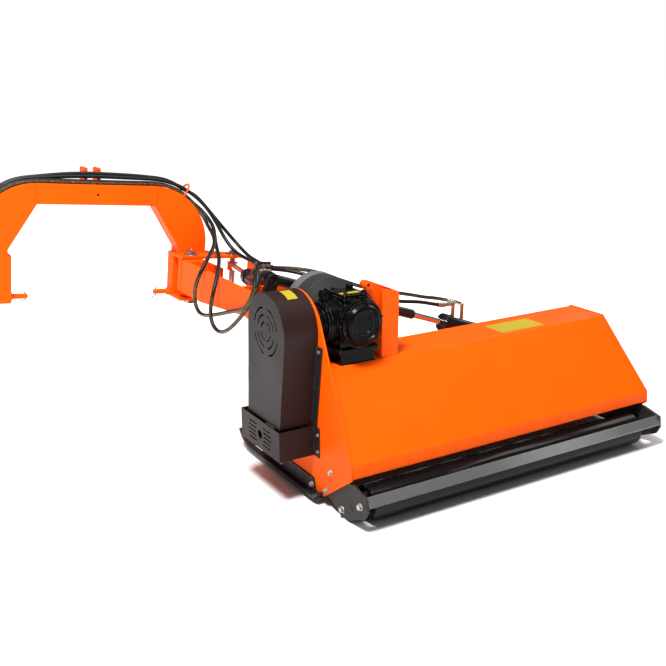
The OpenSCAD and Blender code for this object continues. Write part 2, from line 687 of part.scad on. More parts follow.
module idler_pulley() {
  color(steel) on_head() difference() {
    rod_x(pulley_x - 2, pulley_x + belt_w + 2, idler_y, idler_z, idler_r);
    rod_x(pulley_x - 3, pulley_x + belt_w + 3, idler_y, idler_z, idler_pin_r + fit);
  }
}
module pulley(y, z, r, bore_r) {
  translate([pulley_x - 4, y, z]) rotate([0, 90, 0]) difference() {
    rotate_extrude() polygon([[0, 0], [r + 6, 0], [r + 6, 3], [r, 4.4], [r, belt_w + 3.6],
      [r + 6, belt_w + 5], [r + 6, belt_w + 8], [0, belt_w + 8]]);
    translate([0, 0, -1]) cylinder(h = belt_w + 10, r = bore_r);
  }
}
module drive_pulley() {
  color(steel) on_head() pulley(gear_y, gear_z, drive_r - 6.5, shaft_r);
}
module rotor_pulley() {
  color(steel) on_head() pulley(rotor_y, rotor_z, driven_r - 6.5, rotor_shaft_r);
}
module output_shaft() {
  color(steel) on_head() {
    rod_x(pulley_x - 8, gear_x - 34, gear_y, gear_z, shaft_r);
    translate([gear_x - 64, gear_y, gear_z]) rotate([0, 90, 0]) cylinder(h = 26, r1 = 46, r2 = 26);
  }
}
spline_l = 66;
module input_shaft() {
  color(steel) on_head() difference() {
    union() {
      rod_y(gear_x, gear_y - 62, gear_front + 30, gear_z, stub_r + 4);
      rod_y(gear_x, gear_front + 30, stub_y, gear_z, stub_r);
      translate([gear_x, gear_y - 66, gear_z]) rotate([-90, 0, 0]) cylinder(h = 24, r1 = 66, r2 = 50);
    }
    for (a = [0:60:300]) translate([gear_x, stub_y - spline_l, gear_z]) rotate([0, a, 0])
      translate([stub_r - 2.2, 0, -2]) cube([4, spline_l + 1, 4]);
  }
}

// Rotor with hammer lugs in four rows
drum_in = 16;
hammer_w = 16;
lug_t = 8;
lug_at = hammer_w / 2 + gap / 2 + lug_t / 2;
row_pitch = (deck_w - 260) / hammers;
function hammer_x(row, i) = 130 + row_pitch * (i + 0.5) + (row - 1.5) * row_pitch / 5;
module at_row(row) {
  translate([0, rotor_y, rotor_z]) rotate([row * 90 + 20, 0, 0]) translate([0, 0, hammer_pin_at]) children();
}
module rotor_drum() {
  color(dark) on_head() difference() {
    union() {
      rod_x(drum_in, deck_w - drum_in, rotor_y, rotor_z, rotor_r);
      rod_x(pulley_x - 8, deck_w + side_t + 30, rotor_y, rotor_z, rotor_shaft_r);
      for (row = [0:3], i = [0:hammers - 1], s = [-1, 1])
        at_row(row) translate([hammer_x(row, i) + s * lug_at - lug_t / 2, -15, rotor_r - 4 - hammer_pin_at])
          cube([lug_t, 30, hammer_pin_at - rotor_r + 16]);
    }
    for (row = [0:3], i = [0:hammers - 1])
      at_row(row) rod_x(hammer_x(row, i) - 40, hammer_x(row, i) + 40, 0, 0, hammer_pin_r);
  }
}
module hammer_pins() {
  color(steel) on_head() for (row = [0:3], i = [0:hammers - 1])
    at_row(row) rod_x(hammer_x(row, i) - 22, hammer_x(row, i) + 22, 0, 0, hammer_pin_r);
}
module hammer() {
  difference() {
    union() {
      rod_x(-hammer_w / 2, hammer_w / 2, 0, 0, hammer_pin_r + 8);
      translate([-hammer_w / 2, -10, 0]) cube([hammer_w, 20, hammer_l - 8]);
      translate([-42, -10, hammer_l - 22]) cube([84, 20, 22]);
    }
    rod_x(-hammer_w, hammer_w, 0, 0, hammer_pin_r + fit);
  }
}
module hammer_row(row) {
  color(steel) on_head() for (i = [0:hammers - 1]) at_row(row) translate([hammer_x(row, i), 0, 0]) hammer();
}
module hammer_row_1() { hammer_row(0); }
module hammer_row_2() { hammer_row(1); }
module hammer_row_3() { hammer_row(2); }
module hammer_row_4() { hammer_row(3); }

// Roller, its brackets and the scraper bar
bracket_outline = concat([[196, 20], [196, 140], [60, lip_z - 14]],
  [for (p = [[-4, 84], [-86, 64], [-93, 19], [-77, -12], [29, -64], [97, -45]]) p + [-roller_back, roller_z]],
  [[145, 20]]);
module roller_bracket(x0) {
  difference() {
    across(x0, bracket_in) polygon(bracket_outline);
    rod_x(x0 - 1, x0 + bracket_in + 1, -roller_back, roller_z, roller_shaft_r + fit);
  }
}
module left_roller_bracket() {
  color(dark) on_head() roller_bracket(0);
}
module right_roller_bracket() {
  color(dark) on_head() roller_bracket(deck_w - bracket_in);
}
scraper_at = [-roller_back - 79, roller_z + 45];
scraper_w = 40;
scraper_t = 8;
module scraper_bar() {
  color([0.42, 0.42, 0.42]) on_head() translate([bracket_in, scraper_at[0], scraper_at[1]]) rotate([53, 0, 0])
    translate([0, -scraper_w / 2, 0]) cube([deck_w - 2 * bracket_in, scraper_w, scraper_t]);
}
module roller() {
  color(black) on_head() {
    rod_x(roller_in, deck_w - roller_out, -roller_back, roller_z, roller_r);
    rod_x(1, deck_w - 1, -roller_back, roller_z, roller_shaft_r);
  }
}
module flap_rod() {
  color(steel) on_head() {
    rod_x(0, deck_w, flap_y, flap_z, flap_rod_r);
    for (x = [0, deck_w / 2 - 6, deck_w - 12])
      translate([x, front_y - 7, flap_z - 14]) cube([12, 33, 28]);
  }
}
flap_side = 16;
module front_flap(n) {
  x0 = n == 0 ? flap_side : deck_w / 2 + flap_side;
  w = deck_w / 2 - 2 * flap_side;
  color(black) on_head() difference() {
    union() {
      rod_x(x0, x0 + w, flap_y, flap_z, flap_rod_r + 5);
      translate([x0, flap_y - flap_t / 2, flap_z - flap_l]) cube([w, flap_t, flap_l]);
    }
    rod_x(x0 - 1, x0 + w + 1, flap_y, flap_z, flap_rod_r + fit);
  }
}
module front_flap_1() { front_flap(0); }
module front_flap_2() { front_flap(1); }
module tilt_rod() {
  color(steel) along_tilt() difference() {
    union() {
      translate([0, eye_w / 2, 0]) rotate([90, 0, 0]) cylinder(h = eye_w, r = eye_r);
      cylinder(h = sleeve_l, r = sleeve_r);
      cylinder(h = tilt_reach + 120, r = rod_r);
    }
    translate([0, eye_w, 0]) rotate([90, 0, 0]) cylinder(h = 2 * eye_w, r = eye_bore_r);
  }
}

// Arm: open channel, nose round the kingpin, tube round the tilt pin
far_line = [[arm_far_rear, arm_end_y], [arm_far_front, king_y - 170], [arm_far_front, arm_front_y]];
tube_r = tilt_pin_r + 13;
floor_bend = king_y - 250;
floor_rise = 0.09;
function floor_z(y) = arm_floor + max(floor_bend - y, 0) * floor_rise;
// Outline of the floor seen from above, and its edge seen from the side
floor_plan = [[arm_near, arm_end_y], [arm_far_rear, arm_end_y], [arm_far_front, king_y - 170],
  [arm_far_front, king_y - 160], [60, king_y - 160], [60, arm_front_y], [arm_near, arm_front_y]];
floor_edge = [[arm_end_y, floor_z(arm_end_y)], [floor_bend, arm_floor], [arm_front_y, arm_floor],
  [arm_front_y, arm_floor + arm_t], [floor_bend, arm_floor + arm_t], [arm_end_y, floor_z(arm_end_y) + arm_t]];
near_wall = [[arm_rear_y, floor_z(arm_rear_y)], [floor_bend, arm_floor], [king_y - 34, arm_floor],
  [king_y - 34, arm_top], [arm_rear_y, arm_top]];
nose_w = king_r + 24 - arm_near;
web_x = king_r + 24 - arm_t;
module arm_channel() {
  color(orange) on_arm() difference() {
    union() {
      across(arm_near, arm_t) polygon(near_wall);
      intersection() {
        translate([0, 0, arm_floor]) linear_extrude(arm_top - arm_floor) polygon(floor_plan);
        across(arm_near, arm_far_front - arm_near) polygon(floor_edge);
      }
      translate([0, 0, arm_floor]) linear_extrude(arm_top - arm_floor)
        polygon(concat(far_line, [[arm_far_front - arm_t, arm_front_y], [arm_far_front - arm_t, king_y - 170],
          [arm_far_rear - arm_t, arm_end_y]]));
      translate([arm_near, arm_end_y, floor_z(arm_end_y)])
        cube([arm_far_rear - arm_near, arm_t, arm_top - floor_z(arm_end_y)]);
      rod_y(0, arm_rear_y, arm_end_y, 0, tube_r);
      translate([arm_near, arm_rear_y + 14, 2]) cube([-arm_near - 28, arm_end_y - arm_rear_y - 14, 34]);
      translate([arm_near, arm_front_y - 20, arm_floor]) cube([nose_w, 100, arm_top - arm_floor]);
      translate([web_x, floor_bend, arm_floor]) cube([arm_t, arm_front_y - floor_bend, arm_top - arm_floor]);
      translate([0, king_y, bracket_low + gap]) cylinder(h = arm_top - bracket_low - gap, r = king_r + 22);
      translate([swing_rear_x, swing_rear_y, boss_foot])
        cylinder(h = swing_z - eye_w / 2 - gap - boss_foot, r = boss_r);
    }
    rod_y(0, arm_rear_y - 1, arm_end_y + arm_t + 1, 0, tilt_pin_r + fit);
    rod_y(0, arm_end_y + arm_t, arm_end_y + pin_head_end + gap, 0, tilt_pin_r + pin_head_rim + gap);
    translate([0, king_y, -200]) cylinder(h = 400, r = king_r + fit);
    translate([swing_rear_x, swing_rear_y, arm_floor - 1]) cylinder(h = 200, r = eye_bore_r);
  }
}
boss_foot = floor_z(swing_rear_y);
// Ear that takes the tilt rod, rear pin of the swing cylinder, and bulkhead plate for the tilt hoses
ear_t = 20;
ear_r = 24;
ear_y = tilt_y - sleeve_r - gap - ear_t;
ear_lean = rod_fall - tilt_rest;
module arm_brackets() {
  color(orange) on_arm() {
    difference() {
      rotate([0, ear_lean, 0]) {
        translate([-ear_r, ear_y, 0]) cube([2 * ear_r, ear_t, ear_at]);
        translate([0, ear_y, ear_at]) rotate([-90, 0, 0]) cylinder(h = ear_t, r = ear_r);
      }
      rod_y(0, ear_y - 1, ear_y + ear_t + 1, 0, tube_r);
      translate([-100, ear_y - 1, -100]) cube([200, ear_t + 2, 100]);
      rotate([0, ear_lean, 0]) translate([0, ear_y - 1, ear_at]) rotate([-90, 0, 0])
        cylinder(h = ear_t + 2, r = eye_bore_r);
    }
    translate([swing_rear_x, swing_rear_y, boss_foot])
      cylinder(h = swing_z + eye_w / 2 + 8 - boss_foot, r = eye_bore_r);
    translate([swing_rear_x, swing_rear_y, swing_z + eye_w / 2 + gap]) cylinder(h = 8, r = boss_r);
    translate([172, bulkhead_y - bulkhead_t / 2, arm_top]) cube([60, bulkhead_t, 34]);
  }
}
// Swing cylinder, lying in the channel
module along_swing() {
  on_arm() translate([swing_rear_x, swing_rear_y, swing_z]) rotate([0, 0, swing_a]) rotate([0, 90, 0])
    children();
}
gland_l = 30;
module swing_barrel() {
  color(black) along_swing() difference() {
    union() {
      translate([0, 0, boss_r + gap]) cylinder(h = swing_barrel_l - boss_r - gap, r = barrel_r);
      translate([0, 0, swing_barrel_l - gland_l]) cylinder(h = gland_l + 6, r = barrel_r + 4);
      rotate([0, 90, 0]) translate([0, 0, -eye_w / 2]) cylinder(h = eye_w, r = eye_r);
    }
    translate([0, 0, 60]) cylinder(h = swing_barrel_l, r = rod_r + fit);
    rotate([0, 90, 0]) translate([0, 0, -eye_w]) cylinder(h = 2 * eye_w, r = eye_bore_r + fit);
  }
}
module swing_fittings() {
  color(brass) difference() {
    on_arm() for (p = [swing_route_a[len(swing_route_a) - 1], swing_route_b[len(swing_route_b) - 1]]) {
      x = swing_rear_x + (p[1] - swing_rear_y) / tan(swing_a);
      elbow([x, p[1], swing_z], [x, p[1], p[2]], p);
    }
    along_swing() cylinder(h = swing_barrel_l, r = barrel_r);
  }
}
module swing_rod() {
  color(steel) along_swing() difference() {
    union() {
      translate([0, 0, swing_barrel_l - rod_tail])
        cylinder(h = swing_l - swing_barrel_l + rod_tail, r = rod_r);
      translate([0, 0, swing_l]) rotate([0, 90, 0]) translate([0, 0, -eye_w / 2])
        cylinder(h = eye_w, r = eye_r);
    }
    translate([0, 0, swing_l]) rotate([0, 90, 0]) translate([0, 0, -eye_w])
      cylinder(h = 2 * eye_w, r = eye_bore_r);
  }
}

// Hitch: arch, bracket, feet and pins; the middle of the hitch is left of the kingpin
arch_arc_r = 240;
arch_arc = [mitre_x, beam_z + beam_h - arch_arc_r];
leg_in = foot_half + 14;
foot_top = bracket_top + bracket_t;
inner_knee = 133;
function half_arch() = concat([[0, beam_z], [mitre_x, beam_z], [leg_in, inner_knee], [leg_in, foot_top],
  [arch_arc[0] + arch_arc_r, foot_top]], arc(arch_arc, arch_arc_r, 0, 90, 18), [[0, beam_z + beam_h]]);
module arch_side() {
  translate([0, arch_y + arch_d / 2, 0]) rotate([90, 0, 0]) linear_extrude(arch_d) polygon(half_arch());
}
lug_half = 28;
lug_thick = 12;
foot_front = arch_y + arch_d / 2;
module hitch_arch() {
  color(orange) on_arm() translate([-hitch_mid, 0, 0]) difference() {
    union() {
      arch_side();
      mirror([1, 0, 0]) arch_side();
      for (s = [-1, 1])
        translate([s * lug_half - lug_thick / 2, foot_front, beam_z]) cube([lug_thick, 70, beam_h + 60]);
      translate([-arch_arc[0] - arch_arc_r, arch_y - arch_d / 2, bracket_low - bracket_t])
        cube([arch_arc[0] + arch_arc_r - foot_half, arch_d, foot_top - bracket_low + bracket_t]);
    }
    translate([-100, foot_front + 40, beam_z + beam_h + 34]) rotate([0, 90, 0])
      cylinder(h = 200, r = top_hole_r);
    translate([0, king_y - 100, beam_z + beam_h / 2]) rotate([-90, 0, 0]) cylinder(h = 400, r = 6);
    translate([-foot_half - pin_root, hitch_pin_y, hitch_pin_z]) rotate([0, 90, 0])
      cylinder(h = pin_root + 1, r = hitch_pin_r);
  }
}
bracket_end = pin_lever + 36;
module bracket_plate(z) {
  translate([0, 0, z]) linear_extrude(bracket_t)
    polygon([[-bracket_left, king_y - 44], [40, king_y - 44], [bracket_end, king_y - 34],
      [bracket_end, king_y + 36], [90, foot_front], [-bracket_left, foot_front]]);
}
web_y = king_y + 52;
module kingpin_bracket() {
  color(orange) on_arm() difference() {
    union() {
      bracket_plate(bracket_top);
      bracket_plate(bracket_low - bracket_t);
      translate([-bracket_left, web_y, bracket_low])
        cube([bracket_left + 60, foot_front - web_y, bracket_top - bracket_low]);
    }
    translate([0, king_y, -200]) cylinder(h = 400, r = king_r);
    translate([pin_lever, king_y, -200]) cylinder(h = 400, r = eye_bore_r);
    translate([-bracket_left - 1, hitch_pin_y, hitch_pin_z]) rotate([0, 90, 0])
      cylinder(h = pin_root + 1, r = hitch_pin_r);
  }
}
module kingpins() {
  color(steel) on_arm() {
    translate([0, king_y, bracket_low - bracket_t - 20])
      cylinder(h = foot_top - bracket_low + bracket_t + 20, r = king_r);
    translate([0, king_y, bracket_low - bracket_t - 18]) cylinder(h = 18, r = king_r + 11, $fn = 6);
    translate([0, king_y, foot_top]) cylinder(h = 14, r = king_r + 10, $fn = 6);
    translate([pin_lever, king_y, swing_z + eye_w / 2 + gap])
      cylinder(h = foot_top - swing_z - eye_w / 2 - gap, r = eye_bore_r);
    translate([pin_lever, king_y, foot_top]) cylinder(h = 14, r = eye_bore_r + 8, $fn = 6);
    translate([pin_lever, king_y, bracket_low - bracket_t])
      cylinder(h = swing_z - eye_w / 2 - gap - bracket_low + bracket_t, r = eye_bore_r);
  }
}
pin_root = 30;
collar_w = 12;
// The pin's end is turned down by 1 mm where the linch pin goes through
pin_tip = 17;
module hitch_pins() {
  color(orange) on_arm() translate([-hitch_mid, hitch_pin_y, hitch_pin_z]) for (s = [-1, 1]) difference() {
    union() {
      translate([s > 0 ? foot_half - hitch_pin_l + pin_tip : -foot_half - pin_root, 0, 0]) rotate([0, 90, 0])
        cylinder(h = hitch_pin_l - pin_tip + pin_root, r = hitch_pin_r);
      translate([s * (foot_half - hitch_pin_l / 2), 0, 0]) rotate([0, 90, 0])
        cylinder(h = hitch_pin_l, r = hitch_pin_r - 1, center = true);
      translate([s > 0 ? foot_half - collar_w : -foot_half, 0, 0]) rotate([0, 90, 0])
        cylinder(h = collar_w, r = hitch_pin_r + 6);
    }
    translate([s * linch_at, 0, -50]) cylinder(h = 100, r = linch_r + fit);
  }
}
linch_r = 4;
linch_at = foot_half - hitch_pin_l + 9;
// Linch pin with its pull ring, s is -1 on the left and 1 on the right
module linch_pin(s) {
  color(steel) on_arm() translate([s * linch_at - hitch_mid, hitch_pin_y, hitch_pin_z]) {
    translate([0, 0, -hitch_pin_r - 7]) cylinder(h = 2 * hitch_pin_r + 14, r = linch_r);
    translate([0, 0, -hitch_pin_r - 17]) rotate([90, 0, 0]) rotate_extrude()
      translate([13, 0]) circle(r = 2, $fn = 16);
  }
}
module linch_pin_left() { linch_pin(-1); }
module linch_pin_right() { linch_pin(1); }
// Staple over the hoses on the right shoulder, and a rest for the couplers at the left foot
staple_r = 34;
staple_rod = 4;
staple_leg = 22;
staple_a = 33;
staple_at = [arch_arc[0] + arch_arc_r * sin(staple_a), arch_arc[1] + arch_arc_r * cos(staple_a)];
rest_w = 34;
rest_t = 8;
coupler_r = 12;
coupler_l = 46;
rest_z = swing_route_a[0][2] - coupler_l - rest_t;
module hose_guides() {
  color(orange) on_arm() translate([-hitch_mid, arch_y, 0]) {
    translate([staple_at[0], 0, staple_at[1]]) rotate([0, staple_a, 0]) {
      for (s = [-1, 1]) translate([0, s * staple_r, 0]) cylinder(h = staple_leg, r = staple_rod);
      translate([0, 0, staple_leg]) rotate([0, -90, 0]) rotate([0, 0, -90]) rotate_extrude(angle = 180)
        translate([staple_r, 0]) circle(r = staple_rod, $fn = 24);
    }
    translate([-arch_arc[0] - arch_arc_r - rest_w, -58, rest_z]) cube([rest_w, 116, rest_t]);
  }
}
module hose_couplers() {
  color(steel) on_arm() for (p = [swing_route_a[0], swing_route_b[0], tilt_route_a[0], tilt_route_b[0]])
    translate([p[0], p[1], rest_z + rest_t]) {
      cylinder(h = coupler_l, r = hose_r + 1);
      cylinder(h = coupler_l - 16, r = coupler_r);
      translate([0, 0, coupler_l - 14]) cylinder(h = 9, r = coupler_r, $fn = 6);
    }
}

// Hoses: eight-sided tubes along their routes
hose_sides = 8;
hose_steps = 2;
module swing_hoses() {
  color(black) on_arm() {
    tube(route(swing_route_a, hose_steps), hose_r, hose_sides);
    tube(route(swing_route_b, hose_steps), hose_r, hose_sides);
  }
}
module tilt_hoses_front() {
  color(black) on_arm() {
    tube(route(tilt_route_a, hose_steps), hose_r, hose_sides);
    tube(route(tilt_route_b, hose_steps), hose_r, hose_sides);
  }
}
module tilt_hoses_rear() {
  color(black) on_head() {
    tube(route(tilt_rear_a, hose_steps), hose_r, hose_sides);
    tube(route(tilt_rear_b, hose_steps), hose_r, hose_sides);
  }
}

hood();
left_side_plate();
right_side_plate();
left_skid();
right_skid();
belt_guard();
lower_guard();
head_bolts();
gearbox_plinth();
gearbox_housing();
gearbox_rear_cover();
gearbox_output_tube();
gearbox_top_cover();
gearbox_bearings();
driveline_shield();
tower_post();
tilt_bracket();
tilt_pin();
tilt_anchor();
tilt_barrel();
tilt_fittings();
rotor_bearings();
counter_blade();
belts();
tensioner_arm();
left_roller_bracket();
right_roller_bracket();
scraper_bar();
flap_rod();
rotor_drum();
hammer_pins();
rotor_pulley();
hammer_row_1();
hammer_row_2();
hammer_row_3();
hammer_row_4();
output_shaft();
drive_pulley();
input_shaft();
idler_pulley();
roller();
front_flap_1();
front_flap_2();
tilt_rod();
arm_channel();
arm_brackets();
swing_barrel();
swing_fittings();
swing_rod();
hitch_arch();
kingpin_bracket();
kingpins();
hitch_pins();
linch_pin_left();
linch_pin_right();
hose_guides();
hose_couplers();
swing_hoses();
tilt_hoses_front();
tilt_hoses_rear();
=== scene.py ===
import bmesh
import bpy
import numpy as np
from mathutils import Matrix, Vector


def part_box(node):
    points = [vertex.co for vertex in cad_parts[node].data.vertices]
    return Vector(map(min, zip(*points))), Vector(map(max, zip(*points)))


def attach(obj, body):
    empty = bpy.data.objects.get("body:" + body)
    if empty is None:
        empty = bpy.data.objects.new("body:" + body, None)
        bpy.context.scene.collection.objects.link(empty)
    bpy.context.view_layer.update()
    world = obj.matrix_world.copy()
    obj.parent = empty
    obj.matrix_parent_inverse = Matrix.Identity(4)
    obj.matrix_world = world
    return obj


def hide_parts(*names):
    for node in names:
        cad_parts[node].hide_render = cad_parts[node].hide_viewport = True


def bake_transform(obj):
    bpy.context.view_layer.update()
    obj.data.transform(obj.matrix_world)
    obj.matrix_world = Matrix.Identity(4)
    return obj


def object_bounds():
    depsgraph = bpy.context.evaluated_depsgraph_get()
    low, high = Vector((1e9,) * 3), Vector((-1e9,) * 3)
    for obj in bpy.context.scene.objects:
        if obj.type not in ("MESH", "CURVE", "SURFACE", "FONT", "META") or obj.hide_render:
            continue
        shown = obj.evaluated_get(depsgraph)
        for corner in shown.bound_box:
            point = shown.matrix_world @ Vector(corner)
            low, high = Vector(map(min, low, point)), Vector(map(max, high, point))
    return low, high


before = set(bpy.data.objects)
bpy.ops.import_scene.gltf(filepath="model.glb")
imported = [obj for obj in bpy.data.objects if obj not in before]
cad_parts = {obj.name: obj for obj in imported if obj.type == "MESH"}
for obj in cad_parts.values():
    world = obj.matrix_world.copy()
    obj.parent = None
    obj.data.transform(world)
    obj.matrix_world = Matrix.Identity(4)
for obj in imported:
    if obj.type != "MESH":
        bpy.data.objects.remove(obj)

cad_box = [list(corner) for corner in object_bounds()]

# Studio: the mower stands on a wide white floor under soft boxes,
# seen from behind and from the left of the mowing head.
camera = bpy.data.objects.new("camera", bpy.data.cameras.new("camera"))
camera.data.lens = 50.3
camera.location = (-1.751, -3.037, 0.927)
camera.rotation_euler = np.radians([73.3, 0, -31.3])
bpy.context.collection.objects.link(camera)
bpy.context.scene.camera = camera
bpy.context.scene.view_settings.view_transform = "Standard"


def new_material(name, colour, roughness, metallic=0.0):
    """A named material with its own Principled shader. Returns the material, its tree and the shader."""
    material = bpy.data.materials.new(name)
    material.use_nodes = True
    shader = material.node_tree.nodes["Principled BSDF"]
    shader.inputs["Base Color"].default_value = (*colour, 1)
    shader.inputs["Roughness"].default_value = roughness
    shader.inputs["Metallic"].default_value = metallic
    material.diffuse_color = (*colour, 1)
    return material, material.node_tree, shader


def soft_box(name, place, aim, size, power):
    """A square area light of that size, turned so that its face looks at the aim."""
    lamp = bpy.data.objects.new(name, bpy.data.lights.new(name, "AREA"))
    lamp.data.size = size
    lamp.data.energy = power
    lamp.location = place
    away = lamp.location - type(lamp.location)(aim)
    lamp.rotation_euler = away.to_track_quat("Z", "Y").to_euler()
    bpy.context.collection.objects.link(lamp)


soft_box("key_box", (-1.9, -1.7, 5.2), (0.3, -0.2, -0.2), 1.2, 470)
soft_box("top_box", (0.8, -0.6, 5.0), (0.4, 0.0, -0.4), 4.0, 90)
soft_box("far_box", (4.2, 1.5, 2.4), (0.4, 0.0, -0.2), 2.0, 40)

floor_half = 40.0
floor_mesh = bpy.data.meshes.new("floor")
floor_corners = np.array([[-1, -1, 0], [1, -1, 0], [1, 1, 0], [-1, 1, 0]]) * floor_half
floor_corners[:, 2] = cad_box[0][2]
floor_mesh.from_pydata(floor_corners.tolist(), [], [[0, 1, 2, 3]])
floor = bpy.data.objects.new("floor", floor_mesh)
bpy.context.collection.objects.link(floor)
floor_white, floor_tree, floor_shader = new_material("floor_white", (0.93, 0.93, 0.93), 0.7)
floor_shader.inputs["Specular IOR Level"].default_value = 0.0
floor_shader.inputs["Emission Color"].default_value = (1, 1, 1, 1)
# All round the head the paper is lit from behind, so that it stays white where the lamps fall off
floor_place = floor_tree.nodes.new("ShaderNodeTexCoord")
floor_way = floor_tree.nodes.new("ShaderNodeVectorMath")
floor_way.operation = "LENGTH"
floor_oval = floor_tree.nodes.new("ShaderNodeMapping")
floor_oval.inputs["Location"].default_value = (-0.29, 0.3, 0)
floor_oval.inputs["Scale"].default_value = (0.55, 1, 0)
floor_tree.links.new(floor_place.outputs["Object"], floor_oval.inputs["Vector"])
floor_tree.links.new(floor_oval.outputs["Vector"], floor_way.inputs[0])
floor_glow = floor_tree.nodes.new("ShaderNodeMapRange")
floor_glow.interpolation_type = "SMOOTHSTEP"
floor_glow.inputs["From Min"].default_value = 0.45
floor_glow.inputs["From Max"].default_value = 1.1
floor_glow.inputs["To Max"].default_value = 0.85
floor_tree.links.new(floor_way.outputs["Value"], floor_glow.inputs["Value"])
floor_tree.links.new(floor_glow.outputs["Result"], floor_shader.inputs["Emission Strength"])
floor_mesh.materials.append(floor_white)

# The white surround is bright for the camera and softer as a light, so that faces turned away stay dark.
world = bpy.data.worlds.new("white_room")
world.use_nodes = True
bpy.context.scene.world = world
room = world.node_tree
seen = room.nodes.new("ShaderNodeLightPath")
glow = room.nodes.new("ShaderNodeMapRange")
glow.inputs["To Min"].default_value = 0.17
glow.inputs["To Max"].default_value = 1.0
room.links.new(seen.outputs["Is Camera Ray"], glow.inputs["Value"])
room.nodes["Background"].inputs["Color"].default_value = (1, 1, 1, 1)
room.links.new(glow.outputs["Result"], room.nodes["Background"].inputs["Strength"])

# Hood: one steel sheet folded into a rear lip, a long rear slope, a flat top and a front slope.
# The press leaves a 12 mm round at each fold. The sheet is welded between the side plates
# and sprayed with orange enamel.
stub_at = np.array([0.198, 0.606, 0.612])


def on_head(points):
    """Places in the head's working frame, in millimetres, put into the frame of the driveline stub."""
    return np.asarray(points, float) / 1000 - stub_at


def rounded_line(corners, radius, steps):
    """Polyline with each inner corner turned into an arc tangent to both its sides."""
    corners = np.asarray(corners, float)
    before, here, after = corners[:-2], corners[1:-1], corners[2:]
    to_before = (before - here) / np.linalg.norm(before - here, axis=1, keepdims=True)
    to_after = (after - here) / np.linalg.norm(after - here, axis=1, keepdims=True)
    half = np.arccos(np.clip((to_before * to_after).sum(1), -1, 1)) / 2
    inward = to_before + to_after
    inward = inward / np.linalg.norm(inward, axis=1, keepdims=True)
    middle = here + inward * (radius / np.sin(half))[:, None]
    enter = here + to_before * (radius / np.tan(half))[:, None]
    leave = here + to_after * (radius / np.tan(half))[:, None]
    t = np.linspace(0, 1, steps)[None, :, None]
    chord = (enter[:, None] - middle[:, None]) * (1 - t) + (leave[:, None] - middle[:, None]) * t
    arcs = middle[:, None] + chord / np.linalg.norm(chord, axis=2, keepdims=True) * radius
    return np.vstack([corners[:1], arcs.reshape(-1, 2), corners[-1:]])


def grid_quads(rows, columns, round_columns=True):
    """Corner numbers of the quads of a grid; the last column joins the first where the grid goes round."""
    last = columns if round_columns else columns - 1
    row, column = np.meshgrid(np.arange(rows - 1), np.arange(last), indexing="ij")
    after = (column + 1) % columns
    near, far = row * columns, (row + 1) * columns
    return np.stack([near + column, near + after, far + after, far + column], axis=-1).reshape(-1, 4)


def tube_faces(rows, sides):
    """Faces of a tube of rings, closed by a cap at each end."""
    return [*grid_quads(rows, sides), np.arange(sides)[::-1], np.arange(sides) + (rows - 1) * sides]


# A direction that no path or axis of this machine follows, to start the rings from
off_way = np.array([0.31, 0.17, 0.93])


def swept_rings(path, radius, sides):
    """Rings round a path: c + r (cos u s + sin u (w x s)), with w the way and s square to it."""
    way = np.gradient(path, axis=0)
    way = way / np.linalg.norm(way, axis=1, keepdims=True)
    side = np.cross(way, off_way)
    side = side / np.linalg.norm(side, axis=1, keepdims=True)
    turn = np.linspace(0, 2 * np.pi, sides, endpoint=False)[None, :, None]
    reach = np.broadcast_to(np.asarray(radius, float).reshape(-1, 1, 1), (len(path), 1, 1))
    ring = np.cos(turn) * side[:, None] + np.sin(turn) * np.cross(way, side)[:, None]
    return path[:, None] + reach * ring


def merged(shapes):
    """Points and faces of several (points, faces) shapes as one shape."""
    points = [np.asarray(shape[0]).reshape(-1, 3) for shape in shapes]
    starts = np.cumsum([0, *map(len, points[:-1])])
    faces = [np.asarray(face) + start for shape, start in zip(shapes, starts) for face in shape[1]]
    return np.concatenate(points), faces


def make_piece(name, points, faces, body, slot, material, sharp=35):
    """A mesh object at the origin from points and faces, facing outwards and smooth below the sharp angle.
    It rides on a body where one is given, and on none otherwise."""
    mesh = bpy.data.meshes.new(name)
    corners = [np.asarray(face).tolist() for face in faces]
    mesh.from_pydata(np.asarray(points).reshape(-1, 3).tolist(), [], corners)
    mesh.validate()
    shape = bmesh.new()
    shape.from_mesh(mesh)
    bmesh.ops.recalc_face_normals(shape, faces=shape.faces)
    shape.to_mesh(mesh)
    shape.free()
    mesh.shade_smooth()
    mesh.set_sharp_from_angle(angle=np.radians(sharp))
    mesh.materials.append(material)
    piece = bpy.data.objects.new(name, mesh)
    bpy.context.collection.objects.link(piece)
    if body:
        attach(piece, body)
    return piece


# Shared effect: rounded edges with a mask along them, broken up by noise, that marks rubbed ground and, on
# some finishes, painted glints; and a broad cloud that shifts colour and gloss.
edge_group = bpy.data.node_groups.new("edge_wear_and_glints", "ShaderNodeTree")
edge_sockets = edge_group.interface
edge_radius = edge_sockets.new_socket("Radius", in_out="INPUT", socket_type="NodeSocketFloat")
edge_radius.default_value = 0.003
break_up = edge_sockets.new_socket("Break Up", in_out="INPUT", socket_type="NodeSocketFloat")
break_up.default_value = 60
edge_sockets.new_socket("Edge", in_out="OUTPUT", socket_type="NodeSocketFloat")
edge_sockets.new_socket("Cloud", in_out="OUTPUT", socket_type="NodeSocketFloat")
edge_sockets.new_socket("Normal", in_out="OUTPUT", socket_type="NodeSocketVector")
into = edge_group.nodes.new("NodeGroupInput")
out = edge_group.nodes.new("NodeGroupOutput")
round_off = edge_group.nodes.new("ShaderNodeBevel")
round_off.samples = 6
edge_group.links.new(into.outputs["Radius"], round_off.inputs["Radius"])
flat = edge_group.nodes.new("ShaderNodeNewGeometry")
facing = edge_group.nodes.new("ShaderNodeVectorMath")
facing.operation = "DOT_PRODUCT"
edge_group.links.new(round_off.outputs["Normal"], facing.inputs[0])
